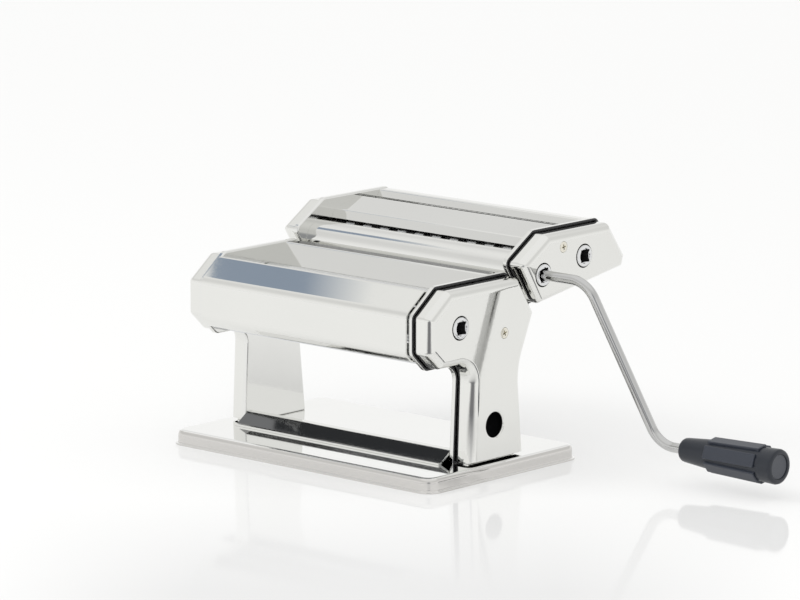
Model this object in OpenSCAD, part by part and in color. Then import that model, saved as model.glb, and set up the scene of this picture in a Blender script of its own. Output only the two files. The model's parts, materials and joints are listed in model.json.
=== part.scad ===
// Hand cranked pasta machine: chromed sheet stand, two smooth rollers with a thickness regulator,
// and a lift-off cutter head with a wide and a narrow pair of cutting rollers.
// +X points to the crank side, -Y to the front, +Z up. The origin is the middle of the base on the table.

/* [Base] */
// Depth of the base plate, front to back
base_d = 125; // [110:1:150]
// Height of the base plate
base_h = 8.5; // [7:0.5:12]
// Distance from the cover face to the edge of the base
base_margin = 7; // [3:0.5:15]
// Corner radius of the base, seen from above
base_corner_r = 9; // [8:0.5:20]
// Width of the lip round the foot of the base
base_lip = 1.5; // [1:0.5:3]
// Rounding of the top edge of the base
base_edge_r = 3; // [2:0.5:4]
// Sheet thickness of the base
base_sheet = 1.2; // [0.8:0.1:1.6]

/* [Rollers] */
// Length of the smooth rollers
roller_len = 150; // [120:1:180]
// Radius of the smooth rollers
roller_r = 12; // [11:0.5:14]
// Gap between the rollers at the middle setting
roller_gap = 1.4; // [1.3:0.1:3]
// Height of the roller axes
roller_axis_z = 85.6; // [75:0.1:110]
// Front to back place of the front roller axis
roller_axis_y = -30.1; // [-40:0.1:-25]
// Radius of the front roller journals
journal_r = 6; // [4.5:0.5:6.5]
// Throw of the regulator shaft
eccentric = 1.2; // [0.8:0.1:1.4]
// Radius of the eccentric part of the regulator shaft
shaft_r = 4; // [3.8:0.1:4.4]
// Radius of the regulator shaft journals
shaft_journal_r = 2.7; // [2:0.1:2.8]
// Outer radius of the bushes in the rear roller
roller_bush_r = 6; // [5:0.1:6.4]
// Length of each bush in the rear roller
roller_bush_len = 20; // [8:1:30]
// Radius of the rear roller neck that carries its gear
neck_r = 7.2; // [7:0.1:7.6]

/* [Side plates] */
// Room between roller end and inner plate
plate_gap = 1; // [0.6:0.1:2]
// Sheet thickness of the inner plates
plate_sheet = 1.2; // [0.8:0.1:1.5]
// Depth of the rim turned outwards on the inner plates
plate_rim = 3; // [2:0.5:4]
// Depth of the outer covers
cover_depth = 11.5; // [10.5:0.5:16]
// Sheet thickness of the outer covers
cover_sheet = 1; // [0.8:0.1:1.5]
// Rounding of the outer cover edge
cover_fillet = 5; // [3:0.5:6]
// Step of the outer covers inside the plate outline
cover_step = 1.8; // [1.4:0.1:2.2]
// Height of the open cover foot over the base
cover_lift = 1.5; // [0.4:0.1:2.5]
// Width of the foot tab that is screwed to the base
foot_tab = 9; // [7:0.5:10]
// Radius of the hole for the table clamp
clamp_r = 6.9; // [5:0.1:8]
// Height of the clamp hole over the base
clamp_rise = 19.9; // [14:0.1:30]
// Front to back place of the clamp hole
clamp_y = -2.1; // [-8:0.1:6]

/* [Head outline] */
// Height of the head over the rollers
top_margin = 10.4; // [8:0.1:14]
// Depth of the head in front of the front roller
front_margin = 14.3; // [10:0.1:18]
// Depth of the head below the rollers
under_margin = 10.8; // [8:0.1:14]
// Distance from the rear roller axis to the rear end of the top edge
rear_margin = 24.6; // [23:0.1:32]
// Drop of the front corner below the top edge
crease_drop = 13.6; // [10:0.1:18]
// Setback of the top edge behind the front
crease_setback = 17.8; // [12:0.1:20]
// Height of the lower front corner over the bottom of the head
lower_rise = 10.4; // [8:0.1:14]
// Setback of the bottom edge behind the front
lower_setback = 10.9; // [8:0.1:14]
// Slope of the seat for the cutter head
seat_angle = 57.6; // [52:0.1:62]
// Length of the sloping seat
seat_len = 26.2; // [22:0.1:30]
// Front edge of the leg below the head
leg_front_y = -20.5; // [-26:0.1:-16]
// Rear edge of the leg at the waist
leg_rear_y = 21; // [18:0.1:24]
// Height of the leg waist
waist_z = 56; // [48:0.5:62]
// How far the front of the leg flares towards the foot
leg_flare_front = 3; // [0:0.5:6]
// How far the rear of the leg flares towards the foot
leg_flare_rear = 5; // [0:0.5:8]
// Rounding of the head corners
head_corner_r = 4.5; // [3:0.5:6]
// Rounding under the head, in front of the leg
armpit_r = 9; // [6:0.5:12]
// Rounding of the leg waist
waist_r = 35; // [20:1:45]

/* [Sheets between the plates] */
// Thickness of the sheet covers
sheet = 1; // [0.6:0.1:1.2]
// Step of the sheet covers inside the plate outline
sheet_step = 0.6; // [0.3:0.1:1]
// How far the front cover stands proud of the plate outline
front_proud = 1.5; // [0.8:0.1:2]
// Length of the sloping top of the front cover
front_slope = 20.1; // [16:0.1:22]
// Length of the sloping bottom of the front cover
front_bevel = 5.7; // [5:0.1:8]
// Width of the flange under the front cover
front_flange = 5.5; // [3:0.1:6]
// Radius of the tie rods
tie_r = 2.5; // [2:0.1:3]
// Height of the cross tie over the base
tie_height = 5.5; // [4:0.5:8]
// Front to back run of the cross tie slope
tie_run = 8; // [6:0.5:10]

/* [Regulator] */
// Half of the regulator travel in degrees
dial_half = 60; // [40:1:60]
// Number of thickness settings
dial_count = 6; // [4:1:9]
// Radius of the circle of the dial notches
dial_r = 10.5; // [9.5:0.1:11.5]
// Radius of the dial plate
dial_plate_r = 16; // [14.5:0.5:18]
// Thickness of the dial plate
dial_sheet = 1; // [0.8:0.1:1.5]
// Radius of the index pin
pin_r = 1.3; // [1:0.1:1.6]
// Radius of the knob skirt
knob_r = 13; // [12.5:0.5:16]
// Length of the knob
knob_len = 13.5; // [12.5:0.5:18]
// Travel of the knob when it is pulled
knob_pull = 3; // [2:0.5:4]
// Side of the square end of the regulator shaft
square_end = 3.6; // [3:0.1:3.8]
// Turns of the knob spring
spring_turns = 4; // [3:1:4]
// Wire radius of the knob spring
spring_wire_r = 0.45; // [0.3:0.05:0.5]

/* [Cutter head] */
// Gap between the seat and the cutter head
seat_gap = 1.4; // [1:0.1:2.5]
// Distance from the seat to the first cutter axis
cutter_off = 13.7; // [12.9:0.1:15]
// Distance of the first cutter axis below the top of the seat, along the slope
cutter_drop = 12; // [9:0.1:13]
// Tilt of the row of cutter axes
row_tilt = 10; // [4:0.5:14]
// Distance between the two axes of a pair
pair_pitch = 15.8; // [15.6:0.1:16.6]
// Distance between the two drive axes
drive_pitch = 34.7; // [34:0.1:40]
// Radius of the cutter discs
disc_r = 8.5; // [8.3:0.1:8.8]
// Width of the wide noodles
wide_w = 6.5; // [5:0.1:8]
// Width of the narrow noodles
narrow_w = 2; // [1.8:0.1:3]
// Radius of the cutter journals
cutter_journal_r = 4; // [3:0.1:4.5]
// Radius of the front shell
shell_r = 11; // [10.6:0.1:11]
// Distance of the front edge past the first cutter axis, along the slope
nose_off = 17.2; // [15:0.1:20]
// Height of the top edge over the first cutter axis
cutter_top = 22.9; // [21.5:0.1:27]
// Depth of the bottom corner below the first cutter axis
cutter_under = 18.2; // [16.5:0.1:20]
// Distance of the rear point behind the last cutter axis
rear_reach = 23.2; // [21.5:0.1:28]
// Distance of the rear end of the top edge behind the last cutter axis
top_reach = 8.5; // [7:0.1:13]
// Drop of the rear point below the last cutter axis
rear_drop = 6.7; // [4:0.1:9]
// Drop of the rear bottom corner below the last cutter axis
bottom_drop = 15.2; // [13.5:0.1:18]
// Length of the tongues that slide into the roller head
tongue_len = 14; // [11:0.5:16]

/* [Sockets and screws] */
// Radius of the crank sockets
socket_r = 6.2; // [6:0.1:7.5]
// Side of the square crank hole
socket_square = 7; // [6.4:0.1:7.4]
// Depth of the square crank hole
socket_depth = 8; // [6:0.5:8.5]
// How far a socket stands out of its cover
socket_proud = 0.7; // [0.3:0.1:1.5]
// Radius of the cover posts
post_r = 2.6; // [2.4:0.1:3.8]
// Radius of the screw shanks
screw_r = 1.5; // [1.2:0.1:1.8]
// Radius of the screw heads
screw_head_r = 3; // [2.6:0.1:3.4]

/* [Crank] */
// Radius of the crank rod
rod_r = 2.8; // [2.4:0.1:3.4]
// Distance from the cover face to the first bend
crank_reach = 30.7; // [26:0.1:50]
// Distance of the grip axis from the crank axis
crank_throw = 88.2; // [70:0.1:94]
// How far the arm leans outwards
crank_lean = 38.5; // [20:0.5:50]
// Angle of the arm behind the straight down position
crank_swing = 10.3; // [-30:0.1:30]
// Bend radius of the rod
bend_r = 15.5; // [9:0.5:18]
// Distance from the second bend to the grip
grip_gap = 17.6; // [15:0.1:24]
// Length of the grip
grip_len = 65; // [55:1:90]
// Radius of the grip at the rod end
grip_r_small = 6.6; // [6:0.1:7.5]
// Radius of the grip where its pads start
grip_r_mid = 8.2; // [7.5:0.1:9]
// Radius of the grip at the outer end
grip_r_large = 9.6; // [8.5:0.1:11]
// Distance from the rod end of the grip to its pads
pad_start = 19.4; // [14:0.1:24]
// Distance from the pads to the outer end of the grip
pad_end = 10.7; // [8:0.1:16]
// Number of raised pads on the grip
pad_count = 6; // [5:1:8]

/* [Fits] */
// Running clearance of shafts in bushes
run_gap = 0.05; // [0.02:0.01:0.08]
// Clearance of fixed pieces
fit_gap = 0.02; // [0.01:0.01:0.05]
// Clearance between moving sheets and plates
slide_gap = 0.4; // [0.3:0.05:0.6]

/* [Hidden] */
$fn = 64;
corner_steps = 4;
sharp_r = 0.3;
eps = 0.01;

inner_x = roller_len / 2 + plate_gap;
rim_x = inner_x + plate_rim;
face_x = rim_x + cover_depth;
web_x = inner_x + plate_sheet;
cover_in_x = face_x - cover_sheet;
base_w = 2 * (face_x + base_margin);

front_axis = [roller_axis_y, roller_axis_z];
rear_axis = front_axis + [2 * roller_r + roller_gap, 0];
shaft_axis = rear_axis - [0, eccentric];

head_top = roller_axis_z + roller_r + top_margin;
head_bottom = roller_axis_z - roller_r - under_margin;
head_front = roller_axis_y - roller_r - front_margin;
seat_n = [sin(seat_angle), cos(seat_angle)];
seat_d = [-cos(seat_angle), sin(seat_angle)];
seat_top = [rear_axis[0] + rear_margin, head_top];
rear_point = seat_top - seat_d * seat_len;

row_dir = [cos(row_tilt), sin(row_tilt)];
wide_drive_axis = seat_top + seat_n * cutter_off - seat_d * cutter_drop;
wide_driven_axis = wide_drive_axis + row_dir * pair_pitch;
narrow_drive_axis = wide_drive_axis + row_dir * drive_pitch;
narrow_driven_axis = narrow_drive_axis + row_dir * pair_pitch;
cutter_top_z = wide_drive_axis[1] + cutter_top;

// Gears of the smooth rollers have long thin teeth, because their axes move with the regulator
roller_gear_teeth = 12;
roller_tooth = [3.2, 2.8];
roller_tooth_share = [0.38, 0.11];
roller_gear_r = [roller_r - roller_tooth[0], roller_r + roller_tooth[1]];
gear_room = 4;
gear_end = 0.4;
roller_gear_w = 7;
roller_gear_x = [inner_x + gear_room, inner_x + gear_room + roller_gear_w];
cutter_gear_teeth = 12;
cutter_tooth = [1.7, 0.8];
cutter_tooth_share = [0.56, 0.22];
cutter_gear_r = [pair_pitch / 2 - cutter_tooth[0], pair_pitch / 2 + cutter_tooth[1]];
cutter_gear_w = 4;
wide_gear_x = [inner_x + gear_room - slide_gap, inner_x + gear_room - slide_gap + cutter_gear_w];
narrow_gear_x = [wide_gear_x[1] + 1, wide_gear_x[1] + 1 + cutter_gear_w];
core_r = pair_pitch - disc_r - slide_gap;
disc_gap = 0.15;

clamp_at = [clamp_y, base_h + clamp_rise];
main_screw_right = front_axis + [35.8, -7.8];
main_screw_left = rear_point + [-13, -5.5];
cutter_screw_right = wide_driven_axis + [1.1, 10.5];
cutter_screw_left = (wide_driven_axis + narrow_drive_axis) / 2 + [-0.8, 8.4];
stop_drop = 21.5;
stop_rod = seat_top - seat_n * (tie_r + sheet + sheet_step + slide_gap) - seat_d * stop_drop;

// Plane geometry in (y, z)
function unit(v) = v / norm(v);
function left(v) = [-v[1], v[0]];
function yz(v) = [v[0], v[1]];
function wrap(a) = a > 180 ? a - 360 : a < -180 ? a + 360 : a;
function polar(r, a) = r * [cos(a), sin(a)];
function along(p, q, dist) = p + unit(q - p) * dist;
function before(o, i) = yz(o[(i + len(o) - 1) % len(o)]);
function after(o, i) = yz(o[(i + 1) % len(o)]);

// Outlines are lists of [y, z, corner radius], counter-clockwise seen from +X
function inset_corner(o, i, d) =
    let (p = yz(o[i]),
         a = left(unit(p - before(o, i))),
         b = left(unit(after(o, i) - p)),
         bend = sign(cross(p - before(o, i), after(o, i) - p)))
    concat(p + (a + b) * d / (1 + a * b), [max(sharp_r, o[i][2] - d * bend)]);
function inset(o, d) = [for (i = [0 : len(o) - 1]) inset_corner(o, i, d)];
function corner_arc(o, i) =
    let (p = yz(o[i]),
         r = o[i][2],
         a = unit(before(o, i) - p),
         b = unit(after(o, i) - p),
         half = acos(a * b) / 2,
         c = p + unit(a + b) * r / sin(half),
         s = p + a * r / tan(half) - c,
         e = p + b * r / tan(half) - c,
         from = atan2(s[1], s[0]),
         sweep = wrap(atan2(e[1], e[0]) - from))
    [for (k = [0 : corner_steps]) c + polar(r, from + sweep * k / corner_steps)];
function ring(o) = [for (i = [0 : len(o) - 1]) each corner_arc(o, i)];

// Bent sheets are open paths of [y, z, bend radius], thickened to the left of their direction
function bent_path(o) =
    [for (i = [0 : len(o) - 1]) each (i == 0 || i == len(o) - 1) ? [yz(o[i])] : corner_arc(o, i)];
function mitre(p, i) =
    let (last = len(p) - 1,
         a = left(unit(p[max(i, 1)] - p[max(i, 1) - 1])),
         b = left(unit(p[min(i, last - 1) + 1] - p[min(i, last - 1)])))
    (a + b) / (1 + a * b);
function sheet_outline(p, t) =
    concat(p, [for (i = [len(p) - 1 : -1 : 0]) p[i] + mitre(p, i) * t]);

// Side outline of the roller head and its leg
function main_outline(foot_z) = [
    [leg_front_y - leg_flare_front, foot_z, sharp_r],
    [leg_rear_y + leg_flare_rear, foot_z, sharp_r],
    [leg_rear_y, waist_z, waist_r],
    concat(rear_point, [head_corner_r]),
    concat(seat_top, [head_corner_r]),
    [head_front + crease_setback, head_top, head_corner_r],
    [head_front, head_top - crease_drop, head_corner_r],
    [head_front, head_bottom + lower_rise, head_corner_r],
    [head_front + lower_setback, head_bottom, head_corner_r],
    [leg_front_y, head_bottom, armpit_r]
];

// Side outline of the cutter head: its front and nose are square to the seat
nose = wide_drive_axis - seat_n * (cutter_off - seat_gap) + seat_d * nose_off;
rear_undercut = 2.8;
rear_corner_r = 3.5;
function on_line(p, dir, z) = p + dir * (z - p[1]) / dir[1];
cutter_outline = [
    concat(nose, [head_corner_r]),
    concat(on_line(nose, seat_d, wide_drive_axis[1] - cutter_under), [head_corner_r]),
    concat(narrow_driven_axis + [rear_reach - rear_undercut, -bottom_drop], [rear_corner_r]),
    concat(narrow_driven_axis + [rear_reach, -rear_drop], [rear_corner_r]),
    [narrow_driven_axis[0] + top_reach, cutter_top_z, head_corner_r],
    concat(on_line(nose, seat_n, cutter_top_z), [head_corner_r])
];

// Triangles of a flat face, cut off ear by ear from its ring of points
function inside(q, a, b, c) =
    cross(b - a, q - a) >= 0 && cross(c - b, q - b) >= 0 && cross(a - c, q - c) >= 0;
function is_ear(p, ix, k) =
    let (n = len(ix), a = ix[(k + n - 1) % n], b = ix[k], c = ix[(k + 1) % n])
    cross(p[b] - p[a], p[c] - p[b]) > 0
        && len([for (j = ix) if (j != a && j != b && j != c && inside(p[j], p[a], p[b], p[c])) j]) == 0;
function first_ear(p, ix, k) = k >= len(ix) - 1 || is_ear(p, ix, k) ? k : first_ear(p, ix, k + 1);
function ears(p, ix) =
    len(ix) <= 3 ? [ix] :
    let (n = len(ix), k = first_ear(p, ix, 0))
    concat([[ix[(k + n - 1) % n], ix[k], ix[(k + 1) % n]]],
        ears(p, [for (j = [0 : n - 1]) if (j != k) ix[j]]));

function fan(n) = [for (k = [1 : n - 2]) [0, k, k + 1]];
function flipped(faces) = [for (f = faces) [for (k = [len(f) - 1 : -1 : 0]) f[k]]];
function shifted(faces, by) = [for (f = faces) [for (k = f) k + by]];

// Loft through rings that run counter-clockwise, seen from its end; cap lists a ring's triangles
module loft(rings, cap, reverse = false) {
    n = len(rings[0]);
    m = len(rings);
    skin = [for (j = [0 : m - 2], k = [0 : n - 1], half = [0, 1])
        let (a = j * n + k, b = j * n + (k + 1) % n, c = b + n, d = a + n)
        half == 0 ? [a, d, c] : [a, c, b]];
    faces = concat(skin, cap, shifted(flipped(cap), (m - 1) * n));
    polyhedron(points = [for (r = rings) each r], faces = reverse ? flipped(faces) : faces, convexity = 6);
}

// Stations of a pressed shell: [x, inset], from the hollow face round the rim to the outer face
fillet_steps = 4;
cover_stations = concat(
    [for (k = [2 : -1 : 0])
        let (r = cover_fillet - cover_sheet)
        [face_x - cover_fillet + r * sin(45 * k), cover_fillet - r * cos(45 * k)]],
    [[web_x, cover_sheet],
     [web_x, 0]],
    [for (k = [0 : fillet_steps])
        let (a = 90 * k / fillet_steps)
        [face_x - cover_fillet + cover_fillet * sin(a), cover_fillet - cover_fillet * cos(a)]]);
plate_fold = 1;
plate_stations = [
    [web_x, plate_sheet],
    [rim_x, plate_sheet],
    [rim_x, 0],
    [inner_x + plate_fold, 0],
    [inner_x + plate_fold * (1 - sin(45)), plate_fold * (1 - sin(45))],
    [inner_x, plate_fold]
];

// Pressed shell; on the inner plates the hollow faces outwards, so their loft runs the other way
module pressed(outline, stations, hollow_out) {
    flat = ring(outline);
    cap = ears(flat, [for (k = [0 : len(flat) - 1]) k]);
    rings = [for (s = stations) [for (p = ring(inset(outline, s[1]))) [s[0], p[0], p[1]]]];
    loft(rings, cap, hollow_out);
}

module cup(outline) {
    pressed(inset(outline, cover_step), cover_stations, false);
}

module pan(outline) {
    pressed(outline, plate_stations, true);
}

// Extrusion along X of a shape drawn in (y, z)
module along_x(x0, x1) {
    translate([x0, 0, 0]) rotate([90, 0, 90]) linear_extrude(x1 - x0) children();
}

// Round bar along X, through the point p of the (y, z) plane
module bar(x0, x1, r, p) {
    translate([x0, p[0], p[1]]) rotate([0, 90, 0]) cylinder(h = x1 - x0, r = r);
}

module tube(x0, x1, r_out, r_in, p) {
    difference() {
        bar(x0, x1, r_out, p);
        bar(x0 - 1, x1 + 1, r_in, p);
    }
}

// Solid of revolution about X, from points [radius, x]
module turned(points, p) {
    translate([0, p[0], p[1]]) rotate([0, 90, 0]) rotate_extrude() polygon(points);
}

// Bent sheet between the inner plates
module sheet_between(path, t, half_w) {
    along_x(-half_w, half_w) polygon(sheet_outline(bent_path(path), t));
}

// Block in the frame of the seat: s along the slope, n away from the seat, from the top of the seat
module seat_block(x, n, s) {
    translate([0, seat_top[0], seat_top[1]]) rotate([90 - seat_angle, 0, 0])
        translate([x[0], n[0], s[0]]) cube([x[1] - x[0], n[1] - n[0], s[1] - s[0]]);
}

module both_sides() {
    children();
    mirror([1, 0, 0]) children();
}

// Countersunk screw and the hole that takes it
screw_len = 9;
screw_head_h = screw_head_r - screw_r;
screw_room = 0.5;

module screw(x_head, p) {
    bar(x_head - screw_len, x_head - screw_head_h / 2, screw_r, p);
    translate([x_head - screw_head_h, p[0], p[1]]) rotate([0, 90, 0])
        cylinder(h = screw_head_h, r1 = screw_r, r2 = screw_head_r);
}

module screw_hole(x_head, p) {
    bar(x_head - screw_len - screw_room, x_head + 1, screw_r + fit_gap, p);
    translate([x_head - screw_head_h, p[0], p[1]]) rotate([0, 90, 0])
        cylinder(h = screw_head_h + eps, r1 = screw_r + fit_gap, r2 = screw_head_r + fit_gap + eps);
}

// Base: a pressed tray with a lip, its profile run round a rounded rectangle
module tray_step(reach, height, r) {
    square([reach, height - r]);
    square([reach - r, height]);
    translate([reach - r, height - r]) circle(r);
}

module tray_profile() {
    wall = base_corner_r - base_lip;
    difference() {
        tray_step(wall, base_h, base_edge_r);
        tray_step(wall - base_sheet, base_h - base_sheet, base_edge_r - base_sheet);
    }
    translate([wall - base_sheet, 0]) square([base_lip + base_sheet, base_sheet]);
}

module base_plate() {
    half = [base_w / 2 - base_corner_r, base_d / 2 - base_corner_r];
    color([0.83, 0.84, 0.85]) difference() {
        union() {
            for (sx = [-1, 1], sy = [-1, 1])
                translate([sx * half[0], sy * half[1], 0])
                    rotate(sx > 0 ? (sy > 0 ? 0 : 270) : (sy > 0 ? 90 : 180))
                        rotate_extrude(angle = 90) tray_profile();
            for (sx = [-1, 1])
                rotate(sx > 0 ? 0 : 180) translate([half[0], half[1], 0]) rotate([90, 0, 0])
                    linear_extrude(2 * half[1]) tray_profile();
            for (sy = [-1, 1])
                rotate(sy > 0 ? 90 : 270) translate([half[1], half[0], 0]) rotate([90, 0, 0])
                    linear_extrude(2 * half[0]) tray_profile();
            translate([-half[0], -half[1], base_h - base_sheet])
                cube([2 * half[0], 2 * half[1], base_sheet]);
        }
        for (p = base_screw_places())
            translate([p[0], p[1], 0]) cylinder(h = base_h + 1, r = screw_r + fit_gap);
    }
}

foot_screw_y = 13;
foot_tab_end = 6;
function base_screw_places() =
    [for (sx = [-1, 1], y = [-foot_screw_y, foot_screw_y]) [sx * (web_x + foot_tab / 2), y]];

module base_screws() {
    head_h = 2;
    shank_end = 1.5;
    color([0.75, 0.75, 0.74]) for (p = base_screw_places()) translate([p[0], p[1], 0]) {
        translate([0, 0, base_h - base_sheet - head_h]) cylinder(h = head_h, r = screw_head_r);
        translate([0, 0, base_h - base_sheet])
            cylinder(h = base_sheet + plate_sheet + shank_end, r = screw_r);
    }
}

module cross_tie() {
    bend = 2;
    toe = 2.2;
    shelf = 6;
    crest_y = leg_front_y - leg_flare_front + bend;
    path = [
        [crest_y - tie_run - toe, base_h, 0],
        [crest_y - tie_run, base_h, bend],
        [crest_y, base_h + tie_height, bend],
        [crest_y + shelf, base_h + tie_height, bend],
        [crest_y + shelf, base_h, 0]
    ];
    color([0.35, 0.36, 0.37]) sheet_between(path, plate_sheet, inner_x);
}

// Inner side plates: leg and head in one, with the rim turned outwards
module main_plate() {
    difference() {
        union() {
            pan(main_outline(base_h));
            translate([web_x - eps, -foot_screw_y - foot_tab_end, base_h])
                cube([foot_tab + eps, 2 * (foot_screw_y + foot_tab_end), plate_sheet]);
        }
        bar(inner_x - 1, rim_x, main_bush_r + fit_gap, front_axis);
        for (y = [-foot_screw_y, foot_screw_y])
            translate([web_x + foot_tab / 2, y, base_h - 1])
                cylinder(h = plate_sheet + 2, r = screw_r + fit_gap);
        children();
    }
}

bush_wall = 2;
main_bush_r = journal_r + bush_wall;
shaft_bush_r = shaft_journal_r + bush_wall;
neck_room = neck_r + eccentric + slide_gap;

module right_inner_plate() {
    color([0.86, 0.87, 0.88]) main_plate() {
        bar(inner_x - 1, rim_x, shaft_bush_r + fit_gap, shaft_axis);
        bar(inner_x - 1, rim_x, clamp_r, clamp_at);
    }
}

module left_inner_plate() {
    color([0.86, 0.87, 0.88]) mirror([1, 0, 0]) main_plate()
        bar(inner_x - 1, rim_x, neck_room, rear_axis);
}

// Outer covers: pressed cups that drop into the rims of the plates, open at the foot
foot_run = 3;
module main_cover() {
    difference() {
        cup(main_outline(base_h - cover_step - cover_fillet - foot_run));
        translate([inner_x, -base_d, base_h + cover_lift - 2 * base_d])
            cube([face_x, 2 * base_d, 2 * base_d]);
        children();
    }
}

module cover_hole(r, p) {
    bar(cover_in_x - 1, face_x + 1, r, p);
}

module right_outer_cover() {
    color([0.88, 0.89, 0.9]) main_cover() {
        cover_hole(socket_r + slide_gap, front_axis);
        cover_hole(clamp_r, clamp_at);
        screw_hole(face_x, main_screw_right);
    }
}

module left_outer_cover() {
    color([0.88, 0.89, 0.9]) mirror([1, 0, 0]) main_cover() {
        cover_hole(shaft_bush_r + fit_gap, shaft_axis);
        screw_hole(face_x, main_screw_left);
    }
}

// Sheets between the plates follow the outline of the head: the front cover outside it, the others inside
sheet_bend = 2;
rest_gap = 0.3;

module front_cover() {
    lip_room = 1;
    lip_angle = 125;
    bend = head_corner_r + front_proud;
    o = inset(main_outline(base_h), -front_proud);
    lip_end = front_axis + polar(roller_r + lip_room, lip_angle);
    top_edge = along(yz(o[6]), yz(o[5]), front_slope);
    flange_edge = along(yz(o[7]), yz(o[8]), front_bevel);
    path = [
        concat(flange_edge + [front_flange, 0], [0]),
        concat(flange_edge, [sheet_bend]),
        concat(yz(o[7]), [bend]),
        concat(yz(o[6]), [bend]),
        concat(top_edge, [sheet_bend]),
        concat(lip_end, [0])
    ];
    color([0.8, 0.83, 0.87]) sheet_between(path, -sheet, inner_x);
}

hopper_room = 0.6;
hopper_angle = 47;
hopper_back = 15.1;
hopper_flange = 3.5;
hopper_end = rear_axis + polar(roller_r + eccentric + hopper_room, hopper_angle);
hopper_top = [rear_axis[0] + hopper_back, head_top - sheet_step];
hopper_flange_y = hopper_top[0] + hopper_flange;

module hopper_plate() {
    path = [
        concat(hopper_end, [0]),
        concat(hopper_top, [sheet_bend]),
        [hopper_flange_y, hopper_top[1], 0]
    ];
    color([0.82, 0.83, 0.84]) sheet_between(path, -sheet, inner_x);
}

// Room that the tongues of the cutter head need on their way up the seat
tongue_t = 1.2;
tongue_gap = 0.6;
tongue_x = [inner_x - tongue_gap - tongue_t, inner_x - tongue_gap];
tongue_foot_w = 3;
tongue_n = -(sheet_step + sheet + slide_gap);
tongue_s0 = (stop_rod - seat_top) * seat_d + tie_r;

module rear_cover() {
    o = inset(main_outline(base_h), sheet_step);
    skirt = 15;
    sheet_seam = 0.2;
    slot_n = [-3, 3];
    foot_n = [-12, 3];
    slot_x = tongue_x[0] - slide_gap;
    foot_x = tongue_x[1] - tongue_foot_w - slide_gap;
    slot_s = [tongue_s0 - 1, tongue_s0 + tongue_len];
    path = [
        [hopper_flange_y + sheet_seam, head_top - sheet_step, 0],
        concat(yz(o[4]), [head_corner_r - sheet_step]),
        concat(yz(o[3]), [head_corner_r - sheet_step]),
        concat(along(yz(o[3]), yz(o[2]), skirt), [0])
    ];
    color([0.82, 0.83, 0.84]) difference() {
        sheet_between(path, -sheet, inner_x);
        both_sides() {
            seat_block([slot_x, inner_x + 1], slot_n, [slot_s[0], seat_len]);
            seat_block([foot_x, inner_x + 1], foot_n, [slot_s[1], seat_len]);
        }
    }
}

front_rod = front_axis + [-15.4, -14.1];
rear_rod = rear_axis + [20.8, -15.6];

module main_tie_rods() {
    color([0.7, 0.71, 0.72]) for (p = [front_rod, rear_rod, stop_rod]) bar(-inner_x, inner_x, tie_r, p);
}

// Scraper blade under a roller, held between the inner plates
scraper_room = 0.6;
scraper_t = 0.8;

module scraper(axis, room, a, dir) {
    slope_run = 3.4;
    foot_len = 3;
    tip = axis + polar(roller_r + room, a);
    foot = [tip[0] - dir * slope_run, head_bottom + sheet_step + sheet + rest_gap];
    path = [
        concat(foot - [dir * foot_len, 0], [0]),
        concat(foot, [2 * scraper_t]),
        concat(tip, [0])
    ];
    sheet_between(path, dir * scraper_t, inner_x);
}

module front_scraper() {
    color([0.78, 0.79, 0.8]) scraper(front_axis, scraper_room, 250, 1);
}

module rear_scraper() {
    color([0.78, 0.79, 0.8]) scraper(rear_axis, scraper_room + eccentric, 290, -1);
}

// Flanged bush in an inner plate, its flange on the outside
bush_end = 0.5;
flange_t = 1.2;
flange_w = 1.5;

module plate_bush(r_in, r_out, p) {
    difference() {
        union() {
            bar(inner_x - bush_end, web_x + flange_t, r_out, p);
            bar(web_x, web_x + flange_t, r_out + flange_w, p);
        }
        bar(inner_x - 2, web_x + 3, r_in, p);
    }
}

module main_bushes() {
    color([0.9, 0.9, 0.86]) {
        both_sides() plate_bush(journal_r + run_gap, main_bush_r, front_axis);
        plate_bush(shaft_journal_r + run_gap, shaft_bush_r, shaft_axis);
    }
}

regulator_flange = 0.8;

module regulator_bush() {
    color([0.9, 0.9, 0.86]) mirror([1, 0, 0]) difference() {
        union() {
            bar(cover_in_x - regulator_flange, face_x + dial_sheet, shaft_bush_r, shaft_axis);
            bar(cover_in_x - regulator_flange, cover_in_x, shaft_bush_r + flange_w, shaft_axis);
        }
        bar(cover_in_x - 2, face_x + 3, shaft_journal_r + run_gap, shaft_axis);
    }
}

// Post between inner plate and cover, bored for its screw
module cover_post(p) {
    difference() {
        bar(web_x, cover_in_x, post_r, p);
        screw_hole(face_x, p);
    }
}

module main_cover_posts() {
    color([0.7, 0.7, 0.7]) {
        cover_post(main_screw_right);
        mirror([1, 0, 0]) cover_post(main_screw_left);
    }
}

module main_cover_screws() {
    color([0.8, 0.78, 0.7]) {
        screw(face_x, main_screw_right);
        mirror([1, 0, 0]) screw(face_x, main_screw_left);
    }
}

// Dial plate: one notch per setting, open to each other so that the pin can pass
notch_gap = 1.1;

module dial_plate() {
    notch_r = pin_r + notch_gap;
    slot_half = pin_r + slide_gap;
    color([0.8, 0.8, 0.8]) mirror([1, 0, 0]) difference() {
        bar(face_x, face_x + dial_sheet, dial_plate_r, shaft_axis);
        bar(face_x - 1, face_x + dial_sheet + 1, shaft_bush_r + fit_gap, shaft_axis);
        for (k = [0 : dial_count - 1]) {
            a = 90 - dial_half + 2 * dial_half * k / (dial_count - 1);
            bar(face_x - 1, face_x + dial_sheet + 1, notch_r, shaft_axis + polar(dial_r, a));
        }
        translate([face_x - 1, shaft_axis[0], shaft_axis[1]]) rotate([90, 0, 90])
            rotate(90 - dial_half) rotate_extrude(angle = 2 * dial_half)
                translate([dial_r - slot_half, 0]) square([2 * slot_half, dial_sheet + 2]);
    }
}

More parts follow.
